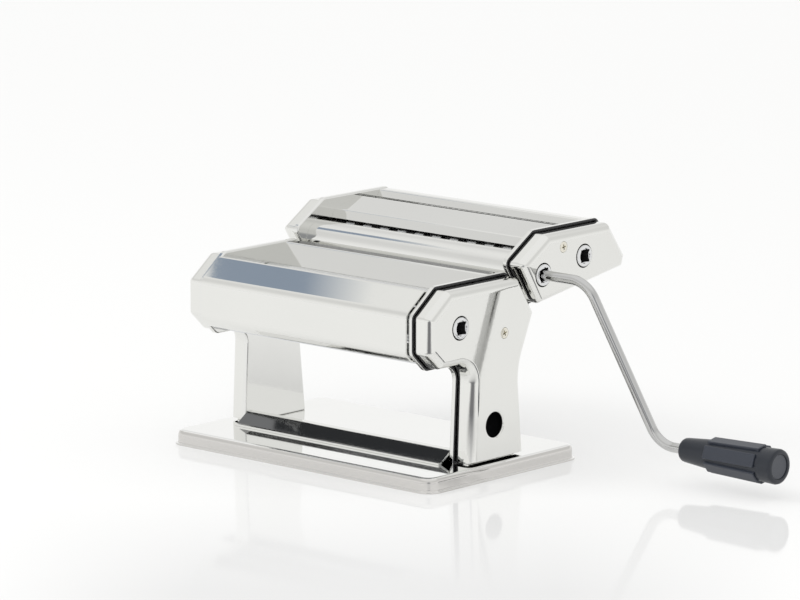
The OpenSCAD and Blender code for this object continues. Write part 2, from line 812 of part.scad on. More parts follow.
// Smooth rollers
module front_roller() {
    edge = 0.8;
    half = roller_len / 2;
    color([0.78, 0.79, 0.8]) turned([
        [0, -roller_gear_x[1] - gear_end],
        [journal_r, -roller_gear_x[1] - gear_end],
        [journal_r, -half],
        [roller_r - edge, -half],
        [roller_r, -half + edge],
        [roller_r, half - edge],
        [roller_r - edge, half],
        [journal_r, half],
        [journal_r, socket_x],
        [0, socket_x]
    ], front_axis);
}

socket_floor = 1.2;
socket_x = face_x + socket_proud - socket_depth - socket_floor;

module socket(p, a) {
    edge = 0.6;
    mouth = face_x + socket_proud;
    color([0.72, 0.73, 0.74]) difference() {
        turned([[0, socket_x], [socket_r, socket_x], [socket_r, mouth - edge], [socket_r - edge, mouth],
            [0, mouth]], p);
        translate([mouth - socket_depth, p[0], p[1]]) rotate([a, 0, 0])
            translate([0, -socket_square / 2, -socket_square / 2])
                cube([socket_depth + 1, socket_square, socket_square]);
    }
}

module roller_socket() {
    socket(front_axis, 0);
}

// Straight sided gear teeth in (y, z); radii and shares of the pitch are [root, tip]
module gear_shape(teeth, r, share, phase) {
    pitch = 360 / teeth;
    polygon([for (k = [0 : teeth - 1], c = [[-1, 0], [-1, 1], [1, 1], [1, 0]])
        polar(r[c[1]], phase + pitch * (k + c[0] * share[c[1]] / 2))]);
}

module gear(x, teeth, r, share, bore, p, phase) {
    translate([0, p[0], p[1]]) along_x(-x[1], -x[0]) difference() {
        gear_shape(teeth, r, share, phase);
        circle(bore);
    }
}

module roller_gear(bore, p, phase) {
    color([0.82, 0.8, 0.72])
        gear(roller_gear_x, roller_gear_teeth, roller_gear_r, roller_tooth_share, bore, p, phase);
}

module front_gear() {
    roller_gear(journal_r + fit_gap, front_axis, 0);
}

module rear_gear() {
    roller_gear(neck_r + fit_gap, rear_axis, 180 / roller_gear_teeth);
}

module rear_roller() {
    edge = 0.8;
    half = roller_len / 2;
    bore = roller_bush_r + run_gap;
    color([0.78, 0.79, 0.8]) turned([
        [bore, -roller_gear_x[1] - gear_end],
        [neck_r, -roller_gear_x[1] - gear_end],
        [neck_r, -half],
        [roller_r - edge, -half],
        [roller_r, -half + edge],
        [roller_r, half - edge],
        [roller_r - edge, half],
        [bore, half]
    ], rear_axis);
}

module roller_bushes() {
    half = roller_len / 2;
    color([0.9, 0.9, 0.86])
        both_sides() tube(half - roller_bush_len, half, roller_bush_r, shaft_r + run_gap, rear_axis);
}

shaft_play = 0.2;
shaft_shoulder_x = cover_in_x - regulator_flange - shaft_play;

module eccentric_shaft() {
    square_x = face_x + dial_sheet + shaft_play;
    step_x = roller_len / 2 + 2 * shaft_play;
    color([0.7, 0.71, 0.72]) {
        bar(-shaft_shoulder_x, step_x, shaft_r, rear_axis);
        bar(step_x, short_end, shaft_journal_r, shaft_axis);
        bar(-square_x, -shaft_shoulder_x, shaft_journal_r, shaft_axis);
        translate([-shaft_end_x, shaft_axis[0] - square_end / 2, shaft_axis[1] - square_end / 2])
            cube([shaft_end_x - square_x, square_end, square_end]);
    }
}

// Retaining screw and washer on the shaft end: the knob spring bears on the washer
washer_r = 5.4;
washer_t = 1;
knob_screw_r = 3.2;
knob_screw_h = 1.4;
knob_floor = 3;
pin_depth = 2;

module knob_screw() {
    color([0.7, 0.71, 0.72]) {
        bar(-shaft_end_x - washer_t, -shaft_end_x, washer_r, shaft_axis);
        bar(-shaft_end_x - washer_t - knob_screw_h, -shaft_end_x - washer_t, knob_screw_r, shaft_axis);
    }
}

// Regulator knob: skirt, fluted grip and the well that holds the spring
knob_x0 = face_x + dial_sheet + slide_gap;
knob_floor_x = knob_x0 + knob_floor;
well_gap = 0.5;
well_r = washer_r + well_gap;
spring_end_gap = 0.1;
spring_solid = 2 * spring_wire_r * (spring_turns + 2);
shaft_end_x = knob_floor_x + spring_solid + knob_pull + 2 * spring_end_gap;

module regulator_knob() {
    x1 = knob_x0 + knob_len;
    edge = 0.5;
    flutes = 16;
    flute_r = 0.9;
    flute_out = 0.2;
    skirt_w = 1.8;
    grip_r = knob_r - skirt_w;
    color([0.16, 0.17, 0.19]) mirror([1, 0, 0]) difference() {
        turned([
            [0, knob_x0], [knob_r - edge, knob_x0], [knob_r, knob_x0 + edge], [knob_r, knob_floor_x],
            [grip_r, knob_floor_x + 1], [grip_r - edge, x1 - 1], [grip_r - edge - 1, x1], [0, x1]
        ], shaft_axis);
        bar(knob_floor_x, x1 + 1, well_r, shaft_axis);
        translate([knob_x0 - 1, shaft_axis[0], shaft_axis[1]])
            translate([0, -square_end / 2 - run_gap, -square_end / 2 - run_gap])
                cube([knob_floor + 2, square_end + 2 * run_gap, square_end + 2 * run_gap]);
        bar(knob_x0 - 1, knob_x0 + pin_depth, pin_r + fit_gap, shaft_axis + [0, dial_r]);
        for (k = [0 : flutes - 1])
            bar(knob_floor_x + flute_r, x1 + 1, flute_r,
                shaft_axis + polar(grip_r + flute_out, 360 * (k + 0.5) / flutes));
    }
}

module index_pin() {
    color([0.75, 0.76, 0.77]) mirror([1, 0, 0])
        bar(face_x + shaft_play, knob_x0 + pin_depth, pin_r, shaft_axis + [0, dial_r]);
}

// Knob spring: one wire along a helix
spring_r = (washer_r + square_end / sqrt(2) + well_gap) / 2;
spring_len = shaft_end_x - knob_floor_x - 2 * (spring_wire_r + spring_end_gap);
spring_rings = 10 * spring_turns;
spring_sides = 6;
function spring_centre(i) =
    let (a = 360 * spring_turns * i / spring_rings)
    [knob_floor_x + spring_wire_r + spring_end_gap + spring_len * i / spring_rings,
     shaft_axis[0] + spring_r * cos(a), shaft_axis[1] + spring_r * sin(a)];

module knob_spring() {
    rings = [for (i = [0 : spring_rings])
        let (a = 360 * spring_turns * i / spring_rings)
        [for (k = [0 : spring_sides - 1])
            let (q = -360 * k / spring_sides, out = spring_wire_r * cos(q))
            spring_centre(i) + [spring_wire_r * sin(q), out * cos(a), out * sin(a)]]];
    color([0.6, 0.6, 0.62]) mirror([1, 0, 0]) loft(rings, fan(spring_sides));
}

// Cutter head: plates and covers
cutter_bush_r = cutter_journal_r + bush_wall;
cutter_axes = [wide_drive_axis, wide_driven_axis, narrow_drive_axis, narrow_driven_axis];

module cutter_plate() {
    color([0.86, 0.87, 0.88]) difference() {
        pan(cutter_outline);
        for (p = cutter_axes) bar(inner_x - 1, rim_x, cutter_bush_r + fit_gap, p);
    }
}

module cutter_right_plate() {
    cutter_plate();
}

module cutter_left_plate() {
    mirror([1, 0, 0]) cutter_plate();
}

module cutter_right_cover() {
    color([0.88, 0.89, 0.9]) difference() {
        cup(cutter_outline);
        for (p = [wide_drive_axis, narrow_drive_axis])
            cover_hole(socket_r + slide_gap, p);
        screw_hole(face_x, cutter_screw_right);
    }
}

module cutter_left_cover() {
    color([0.88, 0.89, 0.9]) mirror([1, 0, 0]) difference() {
        cup(cutter_outline);
        screw_hole(face_x, cutter_screw_left);
    }
}

// Round sheet shell about an axis, between two angles less than half a turn apart
module shell(axis, r, a0, a1) {
    mid = (a0 + a1) / 2;
    far = 4 * r;
    translate([0, axis[0], axis[1]]) along_x(-inner_x, inner_x) intersection() {
        difference() {
            circle(r);
            circle(r - sheet);
        }
        polygon([[0, 0], polar(far, a0), polar(far, mid), polar(far, a1)]);
    }
}

module front_shell() {
    mouth_angle = 54;
    color([0.84, 0.85, 0.86]) shell(wide_drive_axis, shell_r, mouth_angle, 270 - seat_angle);
}

// Lips of the inlets start just outside the cutter discs
lip_clear = 1.2;
lip_bend = 1.5;

module rear_shell() {
    lip_angle = 99.5;
    lip_run = 2.4;
    skirt = 5;
    o = inset(cutter_outline, sheet_step);
    lip_end = narrow_driven_axis + polar(disc_r + lip_clear, lip_angle);
    path = [
        concat(lip_end, [0]),
        [lip_end[0] + lip_run, cutter_top_z - sheet_step, lip_bend],
        concat(yz(o[4]), [head_corner_r - sheet_step]),
        concat(yz(o[3]), [rear_corner_r - sheet_step]),
        concat(along(yz(o[3]), yz(o[2]), skirt), [0])
    ];
    color([0.84, 0.85, 0.86]) sheet_between(path, -sheet, inner_x);
}

module centre_guide() {
    front_angle = 123.5;
    rear_angle = 46.2;
    front_rise = [2.9, 4.9];
    crest = [0.5, 6.3];
    crest_bend = 3;
    rear_fall = [1.4, -2.8];
    front_end = wide_driven_axis + polar(disc_r + lip_clear + sheet_step / 2, front_angle);
    rear_end = narrow_drive_axis + polar(disc_r + lip_clear + sheet_step / 2, rear_angle);
    path = [
        concat(front_end, [0]),
        concat(front_end + front_rise, [lip_bend]),
        concat(narrow_drive_axis + [crest[0], disc_r + crest[1]], [crest_bend]),
        concat(rear_end - rear_fall, [lip_bend]),
        concat(rear_end, [0])
    ];
    color([0.84, 0.85, 0.86]) sheet_between(path, -sheet, inner_x);
}

cutter_rods = [
    (wide_driven_axis + narrow_drive_axis) / 2 + [0, 10.4],
    (wide_driven_axis + narrow_drive_axis) / 2 + [1, -14.2],
    narrow_driven_axis + [13.4, -8.2]
];

module cutter_tie_rods() {
    color([0.7, 0.71, 0.72]) for (p = cutter_rods) bar(-inner_x, inner_x, tie_r, p);
}

module cutter_tongues() {
    s1 = tongue_s0 + tongue_len;
    base_s1 = tongue_s0 + 6;
    base_n = 1.6;
    overlap = 0.1;
    plate_n = seat_gap + plate_fold;
    color([0.7, 0.71, 0.72]) both_sides() {
        seat_block(tongue_x, [tongue_n - tongue_t, seat_gap - overlap], [tongue_s0, s1]);
        seat_block([tongue_x[1] - tongue_foot_w, tongue_x[1]], [tongue_n - tongue_t, tongue_n],
            [tongue_s0, s1]);
        seat_block([tongue_x[0], inner_x], [plate_n, plate_n + base_n], [tongue_s0, base_s1]);
        seat_block(tongue_x, [seat_gap - 2 * overlap, plate_n + overlap], [tongue_s0, base_s1]);
    }
}

module cutter_bushes() {
    color([0.9, 0.9, 0.86]) both_sides()
        for (p = cutter_axes) plate_bush(cutter_journal_r + run_gap, cutter_bush_r, p);
}

// Cutting roller: discs of the noodle width, a groove as wide between them
cutter_half = roller_len / 2 - 0.5;

function disc_edges(w, start) =
    [for (x = [start : 2 * w : cutter_half - w]) [x + disc_gap, x + w - disc_gap]];

module cutter_roller(w, start, x_left, x_right, p) {
    edges = disc_edges(w, start);
    body = [for (e = edges) each [[core_r, e[0]], [disc_r, e[0]], [disc_r, e[1]], [core_r, e[1]]]];
    color([0.76, 0.77, 0.78]) turned(concat(
        [[0, -x_left], [cutter_journal_r, -x_left], [cutter_journal_r, -cutter_half],
            [core_r, -cutter_half]],
        body,
        [[core_r, cutter_half], [cutter_journal_r, cutter_half], [cutter_journal_r, x_right], [0, x_right]]
    ), p);
}

function first_disc(w) = -w * floor(cutter_half / w);
short_end = web_x + 2;

module wide_drive_cutter() {
    cutter_roller(wide_w, first_disc(wide_w), wide_gear_x[1] + gear_end, socket_x, wide_drive_axis);
}

module wide_driven_cutter() {
    cutter_roller(wide_w, first_disc(wide_w) + wide_w, wide_gear_x[1] + gear_end, short_end,
        wide_driven_axis);
}

module narrow_drive_cutter() {
    cutter_roller(narrow_w, first_disc(narrow_w), narrow_gear_x[1] + gear_end, socket_x, narrow_drive_axis);
}

module narrow_driven_cutter() {
    cutter_roller(narrow_w, first_disc(narrow_w) + narrow_w, narrow_gear_x[1] + gear_end, short_end,
        narrow_driven_axis);
}

module wide_socket() {
    socket(wide_drive_axis, crank_swing);
}

module narrow_socket() {
    socket(narrow_drive_axis, 0);
}

module cutter_gear(x, p, phase) {
    color([0.82, 0.8, 0.72])
        gear(x, cutter_gear_teeth, cutter_gear_r, cutter_tooth_share, cutter_journal_r + fit_gap, p,
            row_tilt + phase);
}

module wide_drive_gear() {
    cutter_gear(wide_gear_x, wide_drive_axis, 0);
}

module wide_driven_gear() {
    cutter_gear(wide_gear_x, wide_driven_axis, 180 / cutter_gear_teeth);
}

module narrow_drive_gear() {
    cutter_gear(narrow_gear_x, narrow_drive_axis, 0);
}

module narrow_driven_gear() {
    cutter_gear(narrow_gear_x, narrow_driven_axis, 180 / cutter_gear_teeth);
}

// Stripper comb: a strip below a cutting roller whose teeth stand in the grooves
comb_t = 1.2;
comb_bar = 5.5;
comb_room = 0.9;
comb_side = 0.5;
comb_angles = [-85, -75];

module comb(w, start, p, a) {
    tooth = w - 2 * disc_gap - comb_side;
    top = disc_r - core_r + comb_side;
    grooves = [for (x = [start - w / 2 : 2 * w : cutter_half - w / 2]) if (x > tooth - cutter_half) x];
    teeth = [for (x = grooves) each [[x - tooth / 2, 0], [x - tooth / 2, top], [x + tooth / 2, top],
        [x + tooth / 2, 0]]];
    outline = concat([[-inner_x, -comb_bar], [-inner_x, 0]], teeth, [[inner_x, 0], [inner_x, -comb_bar]]);
    translate([0, p[0], p[1]]) rotate([a + 90, 0, 0]) translate([0, 0, -disc_r - comb_room])
        rotate([90, 0, 0]) translate([0, 0, -comb_t / 2]) linear_extrude(comb_t) polygon(outline);
}

module combs(w, drive, driven) {
    color([0.7, 0.71, 0.72]) {
        comb(w, first_disc(w), drive, comb_angles[0]);
        comb(w, first_disc(w) + w, driven, comb_angles[1]);
    }
}

module wide_combs() {
    combs(wide_w, wide_drive_axis, wide_driven_axis);
}

module narrow_combs() {
    combs(narrow_w, narrow_drive_axis, narrow_driven_axis);
}

module cutter_cover_posts() {
    color([0.7, 0.7, 0.7]) {
        cover_post(cutter_screw_right);
        mirror([1, 0, 0]) cover_post(cutter_screw_left);
    }
}

module cutter_cover_screws() {
    color([0.8, 0.78, 0.7]) {
        screw(face_x, cutter_screw_right);
        mirror([1, 0, 0]) screw(face_x, cutter_screw_left);
    }
}

// Crank: a bent rod in its own plane, hung from the wide cutter axis
crank_turn = atan2(crank_throw, crank_lean);
bend_1 = [face_x + crank_reach, 0];
bend_2 = bend_1 + [crank_lean, crank_throw];
bend_cut = bend_r * tan(crank_turn / 2);
grip_x = bend_2[0] + grip_gap;
tip_gap = 0.25;
end_gap = 0.5;
tip_square = socket_square - 2 * tip_gap;
tip_x = face_x + socket_proud - socket_depth + end_gap;

// Crank frame: x along the machine, z from the crank axis outwards along the arm
module crank_frame() {
    translate([0, wide_drive_axis[0], wide_drive_axis[1]]) rotate([crank_swing, 0, 0]) children();
}

// The bent stretch is swept in the (x, z) plane; its ends lie inside the straight round ends of the rod
rod_sides = 16;
bend_steps = 6;
bend_overlap = 2;
arm_1 = [bend_1[0] - bend_cut, 0];
arm_2 = [bend_2[0] + bend_cut, -bend_2[1]];
function bend_stations(centre, from, side) =
    [for (k = [0 : bend_steps])
        let (a = from + crank_turn * (side * k / bend_steps))
        [centre + polar(bend_r, a), polar(-side, a)]];
rod_stations = concat(
    [[arm_1 - [bend_overlap, 0], [0, 1]]],
    bend_stations(arm_1 - [0, bend_r], 90, -1),
    bend_stations(arm_2 + [0, bend_r], 270 - crank_turn, 1),
    [[arm_2 + [bend_overlap, 0], [0, 1]]]);

module crank_rod() {
    rings = [for (s = rod_stations) [for (k = [0 : rod_sides - 1])
        let (q = -360 * k / rod_sides, r = rod_r - fit_gap)
        [s[0][0] + r * cos(q) * s[1][0], r * sin(q), s[0][1] + r * cos(q) * s[1][1]]]];
    color([0.8, 0.81, 0.82]) crank_frame() {
        translate([tip_x, -tip_square / 2, -tip_square / 2])
            cube([face_x + socket_proud - tip_x, tip_square, tip_square]);
        bar(face_x + socket_proud, arm_1[0], rod_r, [0, 0]);
        loft(rings, fan(rod_sides));
        bar(arm_2[0], grip_x + rod_in_grip, rod_r, [0, -crank_throw]);
    }
}

module grip_frame() {
    crank_frame() translate([grip_x, 0, -crank_throw]) children();
}

// Grip: turned, with flat pads that follow its slope, and a capped end
cap_r = grip_r_large - 3;
cap_t = 2;
cap_sink = 0.8;
grip_bore_end = 7;
rod_in_grip = grip_len - grip_bore_end - 1;
grip_round = 2;

module crank_grip() {
    pad_rise = 0.9;
    pad_root = 2;
    pad_share = 0.9;
    end_room = 2.5;
    overlap = 0.5;
    pad_len = grip_len - pad_start - pad_end;
    slope = atan2(grip_r_large - grip_r_mid, grip_len - pad_start);
    pad_w = pad_share * 2 * grip_r_mid * sin(180 / pad_count);
    color([0.2, 0.23, 0.27]) grip_frame() difference() {
        union() {
            turned([
                [0, 0], [grip_r_small - grip_round, 0], [grip_r_small - grip_round / 3, grip_round / 3],
                [grip_r_small, grip_round], [grip_r_mid, pad_start],
                [grip_r_large, grip_len - grip_round],
                [grip_r_large - grip_round / 3, grip_len - grip_round / 3],
                [grip_r_large - grip_round, grip_len], [0, grip_len]
            ], [0, 0]);
            for (k = [0 : pad_count - 1]) rotate([360 * k / pad_count, 0, 0])
                translate([pad_start, -pad_w / 2, grip_r_mid - pad_root]) rotate([0, -slope, 0])
                    cube([pad_len, pad_w, pad_root + pad_rise]);
        }
        bar(-1, grip_len - grip_bore_end, rod_r + run_gap, [0, 0]);
        bar(grip_len - grip_bore_end - overlap, grip_len - cap_t, rod_r + end_room, [0, 0]);
        bar(grip_len - cap_t - cap_sink, grip_len + 1, cap_r + fit_gap, [0, 0]);
    }
}

module grip_end_cap() {
    color([0.24, 0.26, 0.3]) grip_frame()
        bar(grip_len - cap_t - cap_sink, grip_len - cap_sink, cap_r, [0, 0]);
}

base_plate();
base_screws();
cross_tie();
right_inner_plate();
left_inner_plate();
right_outer_cover();
left_outer_cover();
front_cover();
rear_cover();
hopper_plate();
main_tie_rods();
front_scraper();
rear_scraper();
main_bushes();
regulator_bush();
main_cover_posts();
main_cover_screws();
dial_plate();
front_roller();
roller_socket();
front_gear();
eccentric_shaft();
knob_screw();
roller_bushes();
rear_roller();
rear_gear();
regulator_knob();
index_pin();
knob_spring();
cutter_right_plate();
cutter_left_plate();
cutter_right_cover();
cutter_left_cover();
front_shell();
centre_guide();
rear_shell();
cutter_tie_rods();
cutter_tongues();
cutter_bushes();
wide_combs();
narrow_combs();
cutter_cover_posts();
cutter_cover_screws();
wide_drive_cutter();
wide_socket();
wide_drive_gear();
wide_driven_cutter();
wide_driven_gear();
narrow_drive_cutter();
narrow_socket();
narrow_drive_gear();
narrow_driven_cutter();
narrow_driven_gear();
crank_rod();
crank_grip();
grip_end_cap();
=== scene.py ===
"""Looks of the hand cranked pasta machine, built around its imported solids."""

import json
import math

import bmesh
import bpy
from mathutils import Matrix, Quaternion, Vector

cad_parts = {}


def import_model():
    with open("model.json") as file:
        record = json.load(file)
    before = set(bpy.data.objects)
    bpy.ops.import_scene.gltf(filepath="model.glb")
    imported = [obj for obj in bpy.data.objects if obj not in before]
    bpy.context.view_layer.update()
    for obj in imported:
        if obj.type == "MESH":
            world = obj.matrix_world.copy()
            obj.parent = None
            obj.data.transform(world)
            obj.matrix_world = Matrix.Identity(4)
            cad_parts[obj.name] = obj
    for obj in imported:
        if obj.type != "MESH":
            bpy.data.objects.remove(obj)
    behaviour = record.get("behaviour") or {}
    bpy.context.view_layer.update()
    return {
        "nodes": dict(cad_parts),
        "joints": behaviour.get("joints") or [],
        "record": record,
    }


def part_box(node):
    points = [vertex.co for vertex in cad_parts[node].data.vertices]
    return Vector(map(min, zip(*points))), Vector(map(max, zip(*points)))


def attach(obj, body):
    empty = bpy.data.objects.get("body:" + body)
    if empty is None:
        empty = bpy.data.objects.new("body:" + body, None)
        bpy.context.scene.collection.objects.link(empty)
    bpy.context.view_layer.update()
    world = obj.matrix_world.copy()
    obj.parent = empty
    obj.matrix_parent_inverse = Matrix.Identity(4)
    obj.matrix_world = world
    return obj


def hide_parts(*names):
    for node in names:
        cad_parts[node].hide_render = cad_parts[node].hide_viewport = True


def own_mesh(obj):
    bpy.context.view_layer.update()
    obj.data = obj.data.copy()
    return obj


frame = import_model()

# Shapes are written in millimetres and turned into metres when a mesh is made
MM = 0.001
JOINTS = {j["name"]: j for j in frame["joints"]}


def axis_of(joint):
    """Place of a joint in the (y, z) plane, in millimetres."""
    p = JOINTS[joint]["pos_m"]
    return Vector((p[1], p[2])) / MM


def low(node):
    """Lower corner of a solid's box, in millimetres."""
    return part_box(node)[0] / MM


def high(node):
    """Upper corner of a solid's box, in millimetres."""
    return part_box(node)[1] / MM


def polar(r, degrees):
    a = math.radians(degrees)
    return Vector((r * math.cos(a), r * math.sin(a)))


# Places and sizes that the joints and solids give
FRONT_AXIS = axis_of("front_roller_spin")
REAR_AXIS = axis_of("rear_roller_spin")
SHAFT_AXIS = axis_of("regulator_turn")
WIDE_DRIVE = axis_of("wide_drive_spin")
WIDE_DRIVEN = axis_of("wide_driven_spin")
NARROW_DRIVE = axis_of("narrow_drive_spin")
NARROW_DRIVEN = axis_of("narrow_driven_spin")
CUTTER_MIDDLE = (WIDE_DRIVEN + NARROW_DRIVE) / 2
INNER_X = high("front_cover").x
RIM_X = high("cutter_right_plate").x
FACE_X = high("right_outer_cover").x
BASE_H = high("base_plate").z
BASE_HALF = high("base_plate").xy
HEAD_TOP = high("right_inner_plate").z
HEAD_FRONT = low("right_inner_plate").y
CUTTER_TOP = high("cutter_right_plate").z
ROLLER_HALF = high("roller_bushes").x
ROLLER_R = (high("front_roller").z - low("front_roller").z) / 2
SEAT_D = Vector(JOINTS["cutter_lift"]["axis"][1:]).normalized()
SEAT_N = Vector((SEAT_D.y, -SEAT_D.x))

# Sheet metal
SHEET = 1.0
STEP_IN = 0.6
PLATE_SHEET = 1.2
PLATE_FOLD = 1.0
RIM_BREAK = 0.15
COVER_SHEET = 1.0
COVER_FILLET = 5.0
COVER_STEP = 1.8
COVER_LIFT = 1.5
CORNER_R = 4.5
SHARP_R = 0.3
EDGE_BEVEL = 0.15
WEB_X = INNER_X + PLATE_SHEET

# Fineness of roundings, and the angle in degrees above which an edge stays sharp
CORNER_STEPS = 12
FILLET_STEPS = 10
BEND_STEPS = 8
SHARP_ANGLE = 32

# Head and leg, seen from the side
CREASE_DROP = 13.6
CREASE_SETBACK = 17.8
LOWER_RISE = 10.4
LOWER_SETBACK = 10.9
HEAD_UNDER = 10.8
REAR_MARGIN = 24.6
SEAT_LEN = 26.2
LEG_FRONT = -20.5
LEG_REAR = 21.0
WAIST_Z = 56.0
FLARE_FRONT = 3.0
FLARE_REAR = 5.0
ARMPIT_R = 9.0
WAIST_R = 35.0
HEAD_BOTTOM = FRONT_AXIS.y - ROLLER_R - HEAD_UNDER
SEAT_TOP = Vector((REAR_AXIS.x + REAR_MARGIN, HEAD_TOP))
REAR_POINT = SEAT_TOP - SEAT_D * SEAT_LEN

# Cutter head, seen from the side
SEAT_GAP = 1.4
CUTTER_OFF = 13.7
NOSE_OFF = 17.2
CUTTER_UNDER = 18.2
REAR_REACH = 23.2
TOP_REACH = 8.5
REAR_DROP = 6.7
BOTTOM_DROP = 15.2
REAR_UNDERCUT = 2.8
REAR_CORNER_R = 3.5

# Holes, sockets and screws
CLAMP_AT = Vector((-2.1, 28.4))
CLAMP_R = 6.9
CLAMP_ROUND = 0.9
HOLE_ROUND = 0.4
HOLE_DEPTH = 3.0
HOLE_SEGMENTS = 64
TOOL_PAST = 2.0
SOCKET_R = 6.2
SOCKET_ROOM = 0.4
SOCKET_SQUARE = 7.0
SOCKET_DEPTH = 8.0
SCREW_HEAD_R = 3.0
SCREW_R = 1.5
SCREW_LEN = 9.0
SCREW_CONE = 1.5
SCREW_CROWN = 0.18
SCREW_ROOM = 0.1
SEAT_ROOM = 0.15
CROSS_HALF = 1.55
CROSS_THICK = 0.36
CROSS_DEPTH = 1.3
MAIN_SCREW_RIGHT = FRONT_AXIS + Vector((35.8, -7.8))
MAIN_SCREW_LEFT = REAR_POINT + Vector((-13.0, -5.5))
CUTTER_SCREW_RIGHT = WIDE_DRIVEN + Vector((1.1, 10.5))
CUTTER_SCREW_LEFT = CUTTER_MIDDLE + Vector((-0.8, 8.4))

# Crank and grip
ROD_R = 2.8
CRANK_REACH = 30.7
CRANK_THROW = 88.2
CRANK_LEAN = 38.5
CRANK_SWING = 10.3
BEND_R = 15.5
GRIP_X = low("crank_grip").x
GRIP_LEN = high("crank_grip").x - GRIP_X
GRIP_SMALL = 6.6
GRIP_MID = 8.2
GRIP_LARGE = 9.6
CAP_R = 6.6
CAP_RECESS = 0.8
PAD_COUNT = 6
PAD_START = 19.4
PAD_END = 10.7
PAD_SHARE = 0.9
PAD_RISE = 0.9
PAD_DEPTH = 3.0
PAD_BEVEL = 0.5


# Plane geometry in (y, z): an outline is a closed list of (y, z, corner radius)
def left(v):
    return Vector((-v.y, v.x))


def turn(a, b):
    return a.x * b.y - a.y * b.x


def corner(p, r):
    return (p[0], p[1], r)


def points(outline):
    return [Vector(p[:2]) for p in outline]


def towards(a, b, distance):
    return a + (b - a).normalized() * distance


def inset(outline, d):
    """The outline with every edge moved inwards by d."""
    moved = []
    for i, (y, z, r) in enumerate(outline):
        p = Vector((y, z))
        arriving = (p - Vector(outline[i - 1][:2])).normalized()
        leaving = (Vector(outline[(i + 1) % len(outline)][:2]) - p).normalized()
        a, b = left(arriving), left(leaving)
        q = p + (a + b) * (d / (1 + a.dot(b)))
        bend = math.copysign(1, turn(arriving, leaving))
        moved.append(corner(q, max(SHARP_R, r - d * bend)))
    return moved


def corner_arc(before, at, after, steps=CORNER_STEPS):
    """Points of the rounding at one corner."""
    p, r = Vector(at[:2]), at[2]
    a = (Vector(before[:2]) - p).normalized()
    b = (Vector(after[:2]) - p).normalized()
    half = a.angle(b) / 2
    centre = p + (a + b).normalized() * (r / math.sin(half))
    start = p + a * (r / math.tan(half)) - centre
    end = p + b * (r / math.tan(half)) - centre
    first = math.degrees(math.atan2(start.y, start.x))
    sweep = math.degrees(math.atan2(end.y, end.x)) - first
    sweep = (sweep + 180) % 360 - 180
    return [centre + polar(r, first + sweep * k / steps) for k in range(steps + 1)]


def ring(outline):
    n = len(outline)
    return [p for i in range(n) for p in corner_arc(outline[i - 1], outline[i], outline[(i + 1) % n])]


def bent(path, thickness):
    """Closed outline of a sheet that is bent along an open path, thickened to the left of its direction."""
    line = [Vector(path[0][:2])]
    for i in range(1, len(path) - 1):
        line += corner_arc(path[i - 1], path[i], path[i + 1], BEND_STEPS)
    line.append(Vector(path[-1][:2]))
    other = []
    for i in range(len(line)):
        a = left((line[max(i, 1)] - line[max(i, 1) - 1]).normalized())
        last = min(i, len(line) - 2)
        b = left((line[last + 1] - line[last]).normalized())
        other.append(line[i] + (a + b) * (thickness / (1 + a.dot(b))))
    return line + other[::-1]


# Meshes: a shape is a pair of points and faces
def loft(rings, closed=False):
    """Skin through rings with equal counts: its ends are capped or, if closed, joined to each other."""
    n, m = len(rings[0]), len(rings)
    verts = [p for r in rings for p in r]
    faces = []
    for j in range(m if closed else m - 1):
        a, b = j * n, (j + 1) % m * n
        faces += [(a + k, a + (k + 1) % n, b + (k + 1) % n, b + k) for k in range(n)]
    if not closed:
        faces += [tuple(range(n))[::-1], tuple(range((m - 1) * n, m * n))]
    return verts, faces


def at_x(x, outline):
    return [(x, p[0], p[1]) for p in outline]


def turned(stations, centre, segments=72, closed=False):
    """Solid of revolution about a line along X, through stations of (radius, x)."""
    return loft([at_x(x, [centre + polar(r, 360 * k / segments) for k in range(segments)])
                 for r, x in stations], closed)


def extruded(outline, x0, x1):
    return loft([at_x(x0, outline), at_x(x1, outline)])


def joined(*shapes):
    """One shape from several."""
    verts, faces = [], []
    for v, f in shapes:
        faces += [tuple(i + len(verts) for i in face) for face in f]
        verts += [tuple(p) for p in v]
    return verts, faces


def mirrored(shape):
    return [(-p[0], p[1], p[2]) for p in shape[0]], shape[1]


def carried(shape, place):
    """The shape moved by a matrix."""
    return [place @ Vector(p) for p in shape[0]], shape[1]


def block(low_corner, high_corner, place=Matrix()):
    """Box between two corners, carried by a matrix."""
    x, y, z = zip(low_corner, high_corner)
    verts = [place @ Vector((x[i], y[j], z[k])) for i in (0, 1) for j in (0, 1) for k in (0, 1)]
    faces = [(0, 1, 3, 2), (4, 6, 7, 5), (0, 4, 5, 1), (2, 3, 7, 6), (0, 2, 6, 4), (1, 5, 7, 3)]
    return verts, faces


def about(axis, degrees):
    """Matrix that turns about X and then moves to a place in the (y, z) plane."""
    return Matrix.Translation((0, axis.x, axis.y)) @ Matrix.Rotation(math.radians(degrees), 4, "X")


def make(name, shape):
    mesh = bpy.data.meshes.new(name)
    mesh.from_pydata([tuple(c * MM for c in p) for p in shape[0]], [], shape[1])
    work = bmesh.new()
    work.from_mesh(mesh)
    bmesh.ops.recalc_face_normals(work, faces=work.faces)
    work.to_mesh(mesh)
    work.free()
    obj = bpy.data.objects.new(name, mesh)
    bpy.context.scene.collection.objects.link(obj)
    return obj


def flatten(obj):
    """Replaces the mesh by the result of the modifiers."""
    graph = bpy.context.evaluated_depsgraph_get()
    mesh = bpy.data.meshes.new_from_object(obj.evaluated_get(graph))
    obj.modifiers.clear()
    obj.data = mesh


def cut(obj, *shapes):
    """Takes the shapes out of the object."""
    tools = [make("tool", s) for s in shapes]
    for tool in tools:
        boolean = obj.modifiers.new("cut", "BOOLEAN")
        boolean.object = tool
        boolean.solver = "EXACT"
    flatten(obj)
    for tool in tools:
        bpy.data.objects.remove(tool)
    return obj


